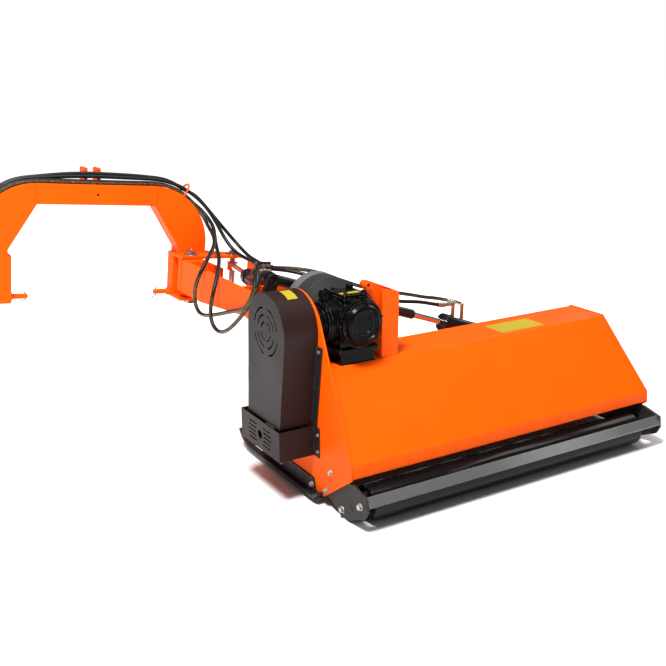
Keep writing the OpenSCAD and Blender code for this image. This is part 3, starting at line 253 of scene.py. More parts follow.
edge_group.links.new(flat.outputs["Normal"], facing.inputs[1])
rim = edge_group.nodes.new("ShaderNodeMapRange")
rim.inputs["From Min"].default_value = 0.995
rim.inputs["From Max"].default_value = 0.8
edge_group.links.new(facing.outputs["Value"], rim.inputs["Value"])
place = edge_group.nodes.new("ShaderNodeTexCoord")
edge_breaks = edge_group.nodes.new("ShaderNodeTexNoise")
edge_breaks.inputs["Detail"].default_value = 6
edge_group.links.new(place.outputs["Object"], edge_breaks.inputs["Vector"])
edge_group.links.new(into.outputs["Break Up"], edge_breaks.inputs["Scale"])
gaps = edge_group.nodes.new("ShaderNodeMapRange")
gaps.inputs["From Min"].default_value = 0.42
gaps.inputs["From Max"].default_value = 0.66
edge_group.links.new(edge_breaks.outputs["Fac"], gaps.inputs["Value"])
wear_and_glint_mask = edge_group.nodes.new("ShaderNodeMath")
wear_and_glint_mask.operation = "MULTIPLY"
edge_group.links.new(rim.outputs["Result"], wear_and_glint_mask.inputs[0])
edge_group.links.new(gaps.outputs["Result"], wear_and_glint_mask.inputs[1])
cloud = edge_group.nodes.new("ShaderNodeTexNoise")
cloud.inputs["Scale"].default_value = 5
cloud.inputs["Detail"].default_value = 4
edge_group.links.new(place.outputs["Object"], cloud.inputs["Vector"])
edge_group.links.new(wear_and_glint_mask.outputs["Value"], out.inputs["Edge"])
edge_group.links.new(cloud.outputs["Fac"], out.inputs["Cloud"])
edge_group.links.new(round_off.outputs["Normal"], out.inputs["Normal"])


def coated(name, colour, edge_colour, roughness, wear_and_glint, grain, grain_depth, metallic=0.0, radius=0.003, shine=0.3):
    """A coated or bare surface: a colour that shifts a little from place to place, the edge colour along
    rubbed edges, where it stands for bared ground and, on some finishes, for painted glints, rounded edges
    and a fine grain."""
    material, tree, shader = new_material(name, colour, roughness, metallic)
    shader.inputs["Specular IOR Level"].default_value = shine
    edges = tree.nodes.new("ShaderNodeGroup")
    edges.node_tree = edge_group
    edges.inputs["Radius"].default_value = radius
    shift = tree.nodes.new("ShaderNodeMix")
    shift.data_type = "RGBA"
    shift.inputs["A"].default_value = (*[0.9 * c for c in colour], 1)
    shift.inputs["B"].default_value = (*[min(1.0, 1.1 * c) for c in colour], 1)
    tree.links.new(edges.outputs["Cloud"], shift.inputs["Factor"])
    amount = tree.nodes.new("ShaderNodeMath")
    amount.operation = "MULTIPLY"
    amount.inputs[1].default_value = wear_and_glint
    tree.links.new(edges.outputs["Edge"], amount.inputs[0])
    edge_mix = tree.nodes.new("ShaderNodeMix")
    edge_mix.name = "edge_mix"
    edge_mix.data_type = "RGBA"
    edge_mix.inputs["B"].default_value = (*edge_colour, 1)
    tree.links.new(amount.outputs["Value"], edge_mix.inputs["Factor"])
    tree.links.new(shift.outputs["Result"], edge_mix.inputs["A"])
    tree.links.new(edge_mix.outputs["Result"], shader.inputs["Base Color"])
    gloss = tree.nodes.new("ShaderNodeMapRange")
    gloss.inputs["To Min"].default_value = roughness * 0.8
    gloss.inputs["To Max"].default_value = roughness * 1.25
    tree.links.new(edges.outputs["Cloud"], gloss.inputs["Value"])
    tree.links.new(gloss.outputs["Result"], shader.inputs["Roughness"])
    spot = tree.nodes.new("ShaderNodeTexCoord")
    spot.name = "spot"
    fine = tree.nodes.new("ShaderNodeTexNoise")
    fine.inputs["Scale"].default_value = grain
    fine.inputs["Detail"].default_value = 3
    tree.links.new(spot.outputs["Object"], fine.inputs["Vector"])
    bump = tree.nodes.new("ShaderNodeBump")
    bump.inputs["Strength"].default_value = 0.25
    bump.inputs["Distance"].default_value = grain_depth
    tree.links.new(fine.outputs["Fac"], bump.inputs["Height"])
    tree.links.new(edges.outputs["Normal"], bump.inputs["Normal"])
    tree.links.new(bump.outputs["Normal"], shader.inputs["Normal"])
    return material


orange = coated("orange_enamel", (1.0, 0.104, 0.001), (1.0, 0.3, 0.08), roughness=0.42, wear_and_glint=0.45,
    grain=420, grain_depth=0.0003, shine=0.07)
hood_low, hood_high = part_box("hood")
sheet = 0.006
hood_fold = 0.012
hood_corners = [[0, 0.150], [0, 0.197], [0.270, 0.460], [0.460, 0.460], [0.620, 0.240]]
outer = rounded_line(hood_corners, hood_fold, 9)
tangent = np.gradient(outer, axis=0)
tangent = tangent / np.linalg.norm(tangent, axis=1, keepdims=True)
inner = outer + sheet * np.stack([tangent[:, 1], -tangent[:, 0]], axis=1)
inner[0, 1] = outer[0, 1]
inner[-1, 1] = outer[-1, 1]
hood_loop = np.vstack([outer, inner[::-1]]) - stub_at[1:]
hood_grid = np.stack([np.insert(hood_loop, 0, x, axis=1) for x in (hood_low[0], hood_high[0])])
strip = np.arange(len(outer) - 1)
mirror_strip = 2 * len(outer) - 1 - strip
end_quads = np.stack([strip, strip + 1, mirror_strip - 1, mirror_strip], axis=1)
hood_faces = [*grid_quads(2, len(hood_loop)), *end_quads, *(end_quads + len(hood_loop))]
hood_skin = make_piece("hood_skin", hood_grid, hood_faces, "head", "orange_paint", orange, sharp=40)
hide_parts("hood")


def weld(name, lines, body, place, radius=3.5, material=orange, slot="orange_paint"):
    """Weld beads along lines of corners in millimetres: cords that swell with each ripple of length w
    by a share b, r (1 + b cos(2 pi s / w))."""
    ripple, bulge, spacing = 6, 0.16, 1.5
    beads = []
    for corners in lines:
        corners = np.asarray(corners, float)
        run = np.concatenate([[0], np.cumsum(np.linalg.norm(np.diff(corners, axis=0), axis=1))])
        at = np.linspace(0, run[-1], int(run[-1] / spacing) + 2)
        path = np.stack([np.interp(at, run, corners[:, k]) for k in range(3)], axis=1)
        swell = radius * (1 + bulge * np.cos(2 * np.pi * at / ripple)) / 1000
        beads.append((swept_rings(place(path), swell, 8), tube_faces(len(at), 8)))
    return make_piece(name, *merged(beads), body, slot, material, sharp=60)


hood_ends = (1, 1445)
hood_seams = [[[x, 0, 155], [x, 0, 197], [x, 270, 460], [x, 460, 460]] for x in hood_ends]
weld("hood_welds", hood_seams, "head", on_head)


def thin_plate(grid, lift):
    """Points and faces of a plate: a grid of places, the same grid raised by the lift, and the rim."""
    rows, columns = grid.shape[:2]
    low = grid_quads(rows, columns, False)
    edge = np.concatenate([np.arange(columns - 1), np.arange(rows - 1) * columns + columns - 1,
        rows * columns - 1 - np.arange(columns - 1), (rows - 1 - np.arange(rows - 1)) * columns])
    ahead = np.roll(edge, -1)
    rim = np.stack([edge, ahead, ahead + rows * columns, edge + rows * columns], axis=1)
    points = np.concatenate([grid.reshape(-1, 3), (grid + lift).reshape(-1, 3)])
    return points, [*low, *(low + rows * columns), *rim]


# Bare yellow plate on the flat top, where the maker's notice would be
label_yellow = coated("label_yellow", (0.43, 0.33, 0.008), (0.4, 0.3, 0.04), roughness=0.5, wear_and_glint=0.3,
    grain=300, grain_depth=0.0001, radius=0.0006)
label_thick = 0.0008
label_lift = np.array([0, 0, label_thick])
label_x, label_y = np.meshgrid([901, 1127], [288, 398], indexing="ij")
label_grid = on_head(np.stack([label_x, label_y, np.full((2, 2), 460.1)], axis=-1))
make_piece("hood_label", *thin_plate(label_grid, label_lift), "head", "orange_paint", label_yellow)

# Side plates: flame-cut 8 mm plate, enamelled with the hood. The left one rises to a round top
# that carries the gearbox's output tube and the belt guard.


def dress(material, *names):
    """Puts a material on CAD nodes by name."""
    for name in names:
        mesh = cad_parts[name].data
        mesh.materials.clear()
        mesh.materials.append(material)


dress(orange, "left_side_plate", "right_side_plate")

# Skids: flat bar rolled up at the nose, on a web bolted to each side plate.
# Satin black paint, rubbed through at the edges by the ground.
satin_black = coated("satin_black", (0.011, 0.0105, 0.0105), (0.14, 0.13, 0.12), roughness=0.4, wear_and_glint=0.5,
    grain=500, grain_depth=0.0004)
dress(satin_black, "left_skid", "right_skid")

# Rotor: a tube with lugs turns in two flanged bearing housings and carries four rows of forged hammers.
# The hammers and the counter blade are bare steel, bright where they cut; the tube is painted black.
hammer_steel = coated("hammer_steel", (0.32, 0.31, 0.3), (0.6, 0.58, 0.55), roughness=0.42, wear_and_glint=0.8,
    grain=90, grain_depth=0.001, metallic=1.0)
dress(hammer_steel, "hammer_row_1", "hammer_row_2", "hammer_row_3", "hammer_row_4", "counter_blade")
zinc = coated("zinc_plate", (0.46, 0.45, 0.43), (0.75, 0.74, 0.7), roughness=0.3, wear_and_glint=0.4,
    grain=900, grain_depth=0.0002, metallic=1.0, radius=0.001)
dress(zinc, "hammer_pins")
dress(satin_black, "rotor_drum", "rotor_bearings")

# Gearbox: sand-cast iron under gloss black enamel, bolted to a plate stand on the hood.
# A turned cover closes the rear; a filler neck and a flat lid with its plug are on top.
# Painted glints: the pale edge colour runs as bright rims along the cast's edges.
cast_black = coated("cast_black", (0.003, 0.003, 0.003), (0.2, 0.2, 0.2), roughness=0.2, wear_and_glint=0.7,
    grain=150, grain_depth=0.001, shine=0.07)
dress(cast_black, "gearbox_plinth", "gearbox_housing", "gearbox_rear_cover", "gearbox_output_tube",
    "gearbox_top_cover")
dress(zinc, "gearbox_bearings", "input_shaft", "output_shaft")


def turned(profile, centre, axis, sides):
    """Shape turned about an axis a: c + s a + r (cos u p + sin u q) for each (s, r) of the profile,
    with p and q square to a."""
    along, reach = np.asarray(profile, float).T
    axis = np.asarray(axis, float) / np.linalg.norm(axis)
    first = np.cross(axis, off_way)
    first = first / np.linalg.norm(first)
    turn = np.linspace(0, 2 * np.pi, sides, endpoint=False)[:, None]
    ring = np.cos(turn) * first + np.sin(turn) * np.cross(axis, first)
    points = np.asarray(centre) + along[:, None, None] * axis + reach[:, None, None] * ring
    return points, tube_faces(len(along), sides)


hex_head = np.array([[-0.0005, 0.0065], [0.0042, 0.0065], [0.0055, 0.0052], [0.0056, 0.0005]])
gear_x, gear_z = 198, 612
cover_y = 243.0
bolt_circle = 80
cover_turn = np.radians(np.arange(15, 375, 60))
cover_bolts = on_head(np.stack([gear_x + bolt_circle * np.cos(cover_turn), np.full(6, cover_y),
    gear_z + bolt_circle * np.sin(cover_turn)], axis=1))
make_piece("gearbox_cover_bolts", *merged([turned(hex_head, spot, (0, -1, 0), 6) for spot in cover_bolts]),
    "head", "black_cast", cast_black)
neck_line = [[-0.03, 0.013], [0.004, 0.013], [0.006, 0.012], [0.007, 0.001]]
cap_line = [[-0.013, 0.001], [-0.013, 0.017], [-0.01, 0.021], [0.01, 0.021], [0.013, 0.017],
    [0.014, 0.008], [0.018, 0.008], [0.018, 0.001]]
neck = turned(neck_line, on_head([97, 345, 705]), (0, 0, 1), 28)
cap = turned(cap_line, on_head([97, 345, 716]), (-0.35, -0.9, 0.25), 32)
make_piece("gearbox_filler", *merged([neck, cap]), "head", "black_cast", cast_black)
label_x, label_y = np.meshgrid([152, 232], [314, 337], indexing="ij")
label_grid = on_head(np.stack([label_x, label_y, np.full((2, 2), 712.1)], axis=-1))
make_piece("gearbox_label", *thin_plate(label_grid, label_lift), "head", "black_cast", label_yellow)
plinth_seam = [[126, 391, 460], [126, 275, 460], [270, 275, 460], [270, 391, 460]]
weld("plinth_welds", [plinth_seam], "head", on_head, material=cast_black, slot="black_cast")

# Driveline shield: a moulded drum of dark grey plastic round the splined stub, open below.
# Its mouth is paler, with a thin rolled lip; the drum sits on the gearbox's front.
shield_plastic = coated("shield_plastic", (0.03, 0.03, 0.029), (0.1, 0.1, 0.1), roughness=0.5, wear_and_glint=0.3,
    grain=900, grain_depth=0.0003)
tree = shield_plastic.node_tree
shield_reach = tree.nodes.new("ShaderNodeSeparateXYZ")
tree.links.new(tree.nodes["spot"].outputs["Object"], shield_reach.inputs["Vector"])
mouth = tree.nodes.new("ShaderNodeMath")
mouth.operation = "GREATER_THAN"
mouth.inputs[1].default_value = -0.062
tree.links.new(shield_reach.outputs["Y"], mouth.inputs[0])
banded = tree.nodes.new("ShaderNodeMix")
banded.data_type = "RGBA"
banded.inputs["B"].default_value = (0.13, 0.13, 0.125, 1)
tree.links.new(mouth.outputs["Value"], banded.inputs["Factor"])
tree.links.new(tree.nodes["edge_mix"].outputs["Result"], banded.inputs["A"])
tree.links.new(banded.outputs["Result"], tree.nodes["Principled BSDF"].inputs["Base Color"])
dress(shield_plastic, "driveline_shield")
lip_reach, lip_y, lip_r = 126, 591.0, 0.0024
lip_steps, lip_sides = 70, 10
lip_turn = np.radians(np.linspace(-14, 194, lip_steps))
lip_path = on_head(np.stack([gear_x + lip_reach * np.cos(lip_turn), np.full(lip_steps, lip_y),
    gear_z + lip_reach * np.sin(lip_turn)], axis=1))
make_piece("shield_lip", swept_rings(lip_path, lip_r, lip_sides), tube_faces(lip_steps, lip_sides), "head",
    "shield_plastic", shield_plastic, sharp=60)

# Belt drive: two cast iron pulleys, a sprung idler and three V-belts of black rubber.
# The belts are drawn one by one in the pulleys' width, tight and still.
pulley_iron = coated("pulley_iron", (0.22, 0.22, 0.22), (0.5, 0.5, 0.5), roughness=0.4, wear_and_glint=0.5,
    grain=300, grain_depth=0.0004, metallic=1.0)
dress(pulley_iron, "drive_pulley", "rotor_pulley", "idler_pulley")
dress(zinc, "tensioner_arm")
rubber = coated("flap_rubber", (0.012, 0.012, 0.012), (0.04, 0.04, 0.04), roughness=0.7, wear_and_glint=0.3,
    grain=250, grain_depth=0.001)
drive_centre, driven_centre = np.array([345.0, 612.0]), np.array([385.0, 214.0])
drive_r, driven_r = 90, 42
between = driven_centre - drive_centre
span = np.linalg.norm(between)
swing_to = np.arctan2(between[1], between[0])
open_angle = np.arccos((drive_r - driven_r) / span)
over_drive = np.linspace(swing_to + open_angle, swing_to + 2 * np.pi - open_angle, 40)
over_driven = np.linspace(swing_to - open_angle, swing_to + open_angle, 30)
belt_turn = np.concatenate([over_drive, over_driven])
belt_way = np.stack([np.cos(belt_turn), np.sin(belt_turn)], axis=1)
on_drive, on_driven = belt_way[:len(over_drive)], belt_way[len(over_drive):]
belt_core = np.vstack([drive_centre + drive_r * on_drive, driven_centre + driven_r * on_driven])
belt_section = np.array([[-5.5, 9.2], [5.5, 9.2], [4.0, 0.8], [-4.0, 0.8], [-5.5, 9.2]])
belt_shapes = []
for belt_middle in (-97.5, -86.0, -74.5):
    rings = [np.insert(belt_core + out_by * belt_way, 0, belt_middle + aside, axis=1)
        for aside, out_by in belt_section]
    belt_shapes.append((on_head(rings), grid_quads(len(belt_section), len(belt_core))))
v_belts = make_piece("v_belts", *merged(belt_shapes), "head", "black_rubber", rubber, sharp=50)
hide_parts("belts")

# Guards: pressed steel covers over the belts and the rotor's end, dark grey powder coat on the face. The
# sides and flanges, every face not turned to the left, are painted a deep brown-black shade; the light
# specks along the edges are rubbed coat with painted glints.
guard_grey = coated("guard_grey", (0.017, 0.0132, 0.0128), (0.4, 0.37, 0.34), roughness=0.5, wear_and_glint=0.9,
    grain=700, grain_depth=0.0005, radius=0.0022, shine=0.18)
tree = guard_grey.node_tree
level = tree.nodes.new("ShaderNodeNewGeometry")
faced = tree.nodes.new("ShaderNodeSeparateXYZ")
tree.links.new(level.outputs["True Normal"], faced.inputs["Vector"])
outward = tree.nodes.new("ShaderNodeMath")
outward.operation = "COMPARE"
outward.inputs[1].default_value = -1.0
outward.inputs[2].default_value = 0.2
tree.links.new(faced.outputs["X"], outward.inputs[0])
# Painted shade: every face not turned to the left takes a deep brown-black.
painted_side_shade = tree.nodes.new("ShaderNodeMix")
painted_side_shade.data_type = "RGBA"
painted_side_shade.inputs["A"].default_value = (0.019, 0.007, 0.006, 1)
tree.links.new(outward.outputs["Value"], painted_side_shade.inputs["Factor"])
tree.links.new(tree.nodes["edge_mix"].outputs["Result"], painted_side_shade.inputs["B"])
tree.links.new(painted_side_shade.outputs["Result"], tree.nodes["Principled BSDF"].inputs["Base Color"])
dress(guard_grey, "belt_guard", "lower_guard")
label_turn, label_x = np.meshgrid(np.radians(np.linspace(0, 28, 12)), [-85, -46], indexing="ij")
label_out = np.stack([np.zeros_like(label_x), -np.sin(label_turn), np.cos(label_turn)], axis=-1)
label_axis = np.stack(np.broadcast_arrays(label_x, *drive_centre), axis=-1)
label_reach = 137.1
bent_label = thin_plate(on_head(label_axis + label_reach * label_out), label_thick * label_out)
make_piece("guard_label", *bent_label, "head", "dark_paint", label_yellow)

# Bolts of the head: rolled steel screws with hexagon heads, zinc plated.
# They hold the guards, the side plates' fittings and the roller brackets.
dress(zinc, "head_bolts")

# Roller: a closed steel tube painted black, turning in two plasma-cut brackets bolted to the side plates. A
# flat scraper bar runs across the back; towards its far end it turns brighter and metallic, a painted
# sheen.
roller_black = coated("roller_black", (0.005, 0.0048, 0.0048), (0.2, 0.19, 0.18), roughness=0.2, wear_and_glint=0.5,
    grain=60, grain_depth=0.0006, shine=0.15)
tree = roller_black.node_tree
long_marks = tree.nodes.new("ShaderNodeMapping")
long_marks.inputs["Scale"].default_value = (1.6, 45, 45)
tree.links.new(tree.nodes["spot"].outputs["Object"], long_marks.inputs["Vector"])
scuffs = tree.nodes.new("ShaderNodeTexNoise")
scuffs.inputs["Scale"].default_value = 1.0
scuffs.inputs["Detail"].default_value = 4
tree.links.new(long_marks.outputs["Vector"], scuffs.inputs["Vector"])
scuffed = tree.nodes.new("ShaderNodeMapRange")
scuffed.inputs["From Min"].default_value = 0.56
scuffed.inputs["From Max"].default_value = 0.8
tree.links.new(scuffs.outputs["Fac"], scuffed.inputs["Value"])
dusty = tree.nodes.new("ShaderNodeMix")
dusty.data_type = "RGBA"
dusty.inputs["B"].default_value = (0.12, 0.11, 0.1, 1)
tree.links.new(scuffed.outputs["Result"], dusty.inputs["Factor"])
tree.links.new(tree.nodes["edge_mix"].outputs["Result"], dusty.inputs["A"])
tree.links.new(dusty.outputs["Result"], tree.nodes["Principled BSDF"].inputs["Base Color"])
dress(roller_black, "roller")
roller_rim = np.array([[0.0, 0.057], [-0.0018, 0.0585], [-0.0018, 0.064], [0.0, 0.0652]])
roller_y, roller_z, rim_sides = -2, 50, 64
rims = []
for rim_x, rim_way in ((56, 1), (1362, -1)):
    rim_points = turned(roller_rim, on_head([rim_x, roller_y, roller_z]), (rim_way, 0, 0), rim_sides)[0]
    rims.append((rim_points, grid_quads(len(roller_rim), rim_sides)))
make_piece("roller_rims", *merged(rims), "roller", "black_paint", roller_black, sharp=30)
bracket_grey = coated("bracket_grey", (0.026, 0.023, 0.021), (0.2, 0.18, 0.16), roughness=0.55, wear_and_glint=0.6,
    grain=300, grain_depth=0.0008)
dress(bracket_grey, "left_roller_bracket", "right_roller_bracket")
scraper_grey = coated("scraper_grey", (0.1, 0.097, 0.097), (0.4, 0.39, 0.38), roughness=0.4, wear_and_glint=0.7,
    grain=200, grain_depth=0.0006)
tree = scraper_grey.node_tree
reach = tree.nodes.new("ShaderNodeSeparateXYZ")
tree.links.new(tree.nodes["spot"].outputs["Object"], reach.inputs["Vector"])
# Painted sheen: the bar grows brighter and metallic along its length towards the far end.
far_end_sheen = tree.nodes.new("ShaderNodeMapRange")
far_end_sheen.interpolation_type = "SMOOTHSTEP"
far_end_sheen.inputs["From Min"].default_value = 0.25
far_end_sheen.inputs["From Max"].default_value = 1.15
tree.links.new(reach.outputs["X"], far_end_sheen.inputs["Value"])
sheen_colour = tree.nodes.new("ShaderNodeMix")
sheen_colour.data_type = "RGBA"
sheen_colour.inputs["B"].default_value = (0.5, 0.5, 0.5, 1)
tree.links.new(far_end_sheen.outputs["Result"], sheen_colour.inputs["Factor"])
tree.links.new(tree.nodes["edge_mix"].outputs["Result"], sheen_colour.inputs["A"])
tree.links.new(sheen_colour.outputs["Result"], tree.nodes["Principled BSDF"].inputs["Base Color"])
tree.links.new(far_end_sheen.outputs["Result"], tree.nodes["Principled BSDF"].inputs["Metallic"])
dress(scraper_grey, "scraper_bar")

# Front flaps: strips of rubber belting folded over a rod below the hood's front edge and riveted.
# They hang free, a little wavy along the bottom, and swing up over the crop.
dress(zinc, "flap_rod")
loop_turn = np.radians(np.linspace(-75, 255, 34))
loop_way = np.stack([np.cos(loop_turn), np.sin(loop_turn)], axis=1)
loop_outer, loop_inner = 13, 8.3
flap_foot, flap_step = -178, 12.5
flap_line = np.vstack([loop_outer * loop_way, [[-3.2, -50], [-0.1, -50], [-0.1, -13]],
    loop_inner * loop_way[::-1], [[0.1, -13], [0.1, -51], [-1.3, -53]],
    np.stack([np.full(10, -1.3), flap_foot + flap_step * np.arange(9, -1, -1)], axis=1),
    np.stack([np.full(12, 3.0), flap_foot + flap_step * np.arange(12)], axis=1)])
flap_rod_y, flap_rod_z, flap_steps = 632, 226, 70
wave_from, wave_run = -20, 158
stud_inset, stud_count = 40, 7
rivet = np.array([[-0.001, 0.0055], [0.001, 0.0052], [0.0022, 0.0036], [0.0026, 0.0006]])
for number, (flap_from, flap_to) in enumerate(((16, 707), (739, 1430)), start=1):
    along = np.linspace(flap_from, flap_to, flap_steps)
    # Two waves across the width, which grow with the square of the drop below the rod
    drop = np.clip((wave_from - flap_line[:, 1]) / wave_run, 0, 1) ** 2
    wave = 2.2 * np.sin(along / 27 + number) + 1.4 * np.sin(along / 61)
    flap_y = flap_rod_y + flap_line[None, :, 0] + wave[:, None] * drop[None, :]
    flap_z = np.broadcast_to(flap_rod_z + flap_line[None, :, 1], flap_y.shape)
    flap_x = np.broadcast_to(along[:, None], flap_y.shape)
    flap_rings = on_head(np.stack([flap_x, flap_y, flap_z], axis=-1))
    stud_x = np.linspace(flap_from + stud_inset, flap_to - stud_inset, stud_count)
    stud_places = np.stack(np.broadcast_arrays(stud_x, flap_rod_y + 3.0, flap_rod_z - 32), axis=1)
    studs = [turned(rivet, spot, (0, 1, 0), 12) for spot in on_head(stud_places)]
    flap_shape = merged([(flap_rings, tube_faces(flap_steps, len(flap_line))), *studs])
    flap = make_piece(f"rubber_flap_{number}", *flap_shape, ("flap_left", "flap_right")[number - 1],
        "black_rubber", rubber, sharp=45)
    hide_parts(f"front_flap_{number}")

# Tower: plate folded into a channel, enamelled orange and welded to the hood beside the gearbox.
# A lug with a short tube stands out at its top; the weld runs round the foot and up the lug.
dress(orange, "tower_post")
tower_foot = [[305, 398, 460], [305, 278, 460], [379, 278, 460], [379, 398, 460]]
lug_seam = [[305, 307, 655], [305, 307, 720]]
weld("tower_welds", [tower_foot, lug_seam], "head", on_head)

# Tilt gear: a welded bracket with its pin joins the head to the arm, and a long cylinder tilts the head.
# The rod is a black tube with a chromed end; the barrel is painted black and has two steel elbows.
dress(orange, "tilt_bracket", "tilt_anchor")
dress(zinc, "tilt_pin")
barrel_black = coated("barrel_black", (0.007, 0.007, 0.007), (0.1, 0.1, 0.1), roughness=0.26, wear_and_glint=0.3,
    grain=500, grain_depth=0.0002)
dress(barrel_black, "tilt_barrel")
chrome_colour = (0.82, 0.83, 0.85)
chrome, tree, shader = new_material("hard_chrome", chrome_colour, 0.09, 1.0)
chrome_place = tree.nodes.new("ShaderNodeTexCoord")
streaks = tree.nodes.new("ShaderNodeTexNoise")
streaks.inputs["Scale"].default_value = 30
tree.links.new(chrome_place.outputs["Object"], streaks.inputs["Vector"])
streak_rough = tree.nodes.new("ShaderNodeMapRange")
streak_rough.inputs["To Min"].default_value = 0.05
streak_rough.inputs["To Max"].default_value = 0.16
tree.links.new(streaks.outputs["Fac"], streak_rough.inputs["Value"])
tree.links.new(streak_rough.outputs["Result"], shader.inputs["Roughness"])
# The rod's finish changes from black tube to chrome at a set run from the ear, along the rod
ear_at, rod_way, tube_length = (-0.1707, 0.034, 0.1118), (0.942, 0.0, -0.3355), 0.7195
rod_finish, tree, shader = new_material("rod_tube_and_chrome", chrome_colour, 0.09, 1.0)
rod_place = tree.nodes.new("ShaderNodeTexCoord")
from_ear = tree.nodes.new("ShaderNodeVectorMath")
from_ear.operation = "SUBTRACT"
from_ear.inputs[1].default_value = ear_at
tree.links.new(rod_place.outputs["Object"], from_ear.inputs[0])
run_out = tree.nodes.new("ShaderNodeVectorMath")
run_out.operation = "DOT_PRODUCT"
run_out.inputs[1].default_value = rod_way
tree.links.new(from_ear.outputs["Vector"], run_out.inputs[0])
bright = tree.nodes.new("ShaderNodeMath")
bright.operation = "GREATER_THAN"
bright.inputs[1].default_value = tube_length
tree.links.new(run_out.outputs["Value"], bright.inputs[0])
rod_colour = tree.nodes.new("ShaderNodeMix")
rod_colour.data_type = "RGBA"
rod_colour.inputs["A"].default_value = (0.007, 0.007, 0.007, 1)
rod_colour.inputs["B"].default_value = (*chrome_colour, 1)
tree.links.new(bright.outputs["Value"], rod_colour.inputs["Factor"])
tree.links.new(rod_colour.outputs["Result"], shader.inputs["Base Color"])
tree.links.new(bright.outputs["Value"], shader.inputs["Metallic"])
rod_gloss = tree.nodes.new("ShaderNodeMapRange")
rod_gloss.inputs["To Min"].default_value = 0.3
rod_gloss.inputs["To Max"].default_value = 0.09
tree.links.new(bright.outputs["Value"], rod_gloss.inputs["Value"])
tree.links.new(rod_gloss.outputs["Result"], shader.inputs["Roughness"])
dress(rod_finish, "tilt_rod")
crimp_steel, tree, shader = new_material("crimp_steel", (0.5, 0.46, 0.36), 0.32, 1.0)
crimp_place = tree.nodes.new("ShaderNodeTexCoord")
grime = tree.nodes.new("ShaderNodeTexNoise")
grime.inputs["Scale"].default_value = 160
tree.links.new(crimp_place.outputs["Object"], grime.inputs["Vector"])
grime_rough = tree.nodes.new("ShaderNodeMapRange")
grime_rough.inputs["To Min"].default_value = 0.22
grime_rough.inputs["To Max"].default_value = 0.5
tree.links.new(grime.outputs["Fac"], grime_rough.inputs["Value"])
tree.links.new(grime_rough.outputs["Result"], shader.inputs["Roughness"])
dress(crimp_steel, "tilt_fittings")

# Arm: channel bent from 10 mm plate with its nose welded shut, enamelled orange.
# The ear for the tilt rod, the swing cylinder's rear pin and the hose bulkhead on it are black.
arm_lean = np.radians(5.5)
arm_pivot = np.array([-0.218, -0.606, -0.021])


def on_arm(points):
    """Places of the level arm, in millimetres, turned by the arm's lean about the tilt axis:
    x cos a + z sin a, y, z cos a - x sin a, and put into the frame."""
    x, y, z = np.moveaxis(np.asarray(points, float), -1, 0) / 1000
    leaning = [x * np.cos(arm_lean) + z * np.sin(arm_lean), y, z * np.cos(arm_lean) - x * np.sin(arm_lean)]
    return np.stack(leaning, axis=-1) + arm_pivot


dress(orange, "arm_channel")
dress(satin_black, "arm_brackets")
weld("arm_welds", [[[-58, 1266, -40], [-58, 1266, 90]]], "arm", on_arm)

# Swing cylinder: black painted barrel with a chromed rod, lying in the arm's channel.
# Two steel elbows with hexagon collars take its hoses.
dress(barrel_black, "swing_barrel")
dress(chrome, "swing_rod")
dress(crimp_steel, "swing_fittings")
arm_up = on_arm([0, 0, 1000]) - arm_pivot
arm_left = on_arm([-1000, 0, 0]) - arm_pivot
collar = np.array([[0.0, 0.0105], [0.0008, 0.0125], [0.0112, 0.0125], [0.012, 0.0105], [0.012, 0.0078]])
collar_places = (([124, 830, 90], arm_up), ([117, 788, 90], arm_up),
    ([106, 830, 112], arm_left), ([98, 788, 132], arm_left))
collars = [turned(collar, on_arm(spot), way, 6) for spot, way in collar_places]
make_piece("swing_collars", *merged(collars), "swing_barrel", "fitting_brass", crimp_steel, sharp=30)

# Hitch: an arch of square tube cut and welded at mitres, with plates at its right foot for the kingpin.
# Turned pins with linch pins take the tractor's lower links; the couplers hang on a rest at the left foot.
dress(orange, "hitch_arch", "kingpin_bracket", "hitch_pins", "hose_guides")
dress(zinc, "kingpins", "linch_pin_left", "linch_pin_right", "hose_couplers")
arch_middle = -408
mitres = [[[arch_middle + s * 247, 1330, 315], [arch_middle + s * 258, 1330, 397]] for s in (-1, 1)]
weld("arch_welds", [*mitres, [[-48, 1330, 109], [79, 1330, 109]]], "hitch", on_arm)
washer = np.array([[0.0, 0.0335], [0.0024, 0.0335], [0.003, 0.0329], [0.003, 0.02]])
nipple = np.array([[0.0, 0.0055], [0.004, 0.0055], [0.005, 0.003], [0.009, 0.003], [0.0105, 0.0042],
    [0.013, 0.0032], [0.0138, 0.0008]])
pin_x, pin_y = (0, 202), 1300
pin_tops = [turned(washer, on_arm([x, pin_y, 109]), arm_up, 40) for x in pin_x]
pin_tops += [turned(nipple, on_arm([x, pin_y, 123]), arm_up, 16) for x in pin_x]
make_piece("pin_washers", *merged(pin_tops), "hitch", "zinc_steel", zinc, sharp=30)

# Hydraulic hoses: two-wire rubber hose, 16 mm across, with crimped steel ends.
# Four run from the couplers over the arch. Two go to each cylinder, those of the tilt cylinder
# by way of a bulkhead on the arm.
hose_radius = 0.008


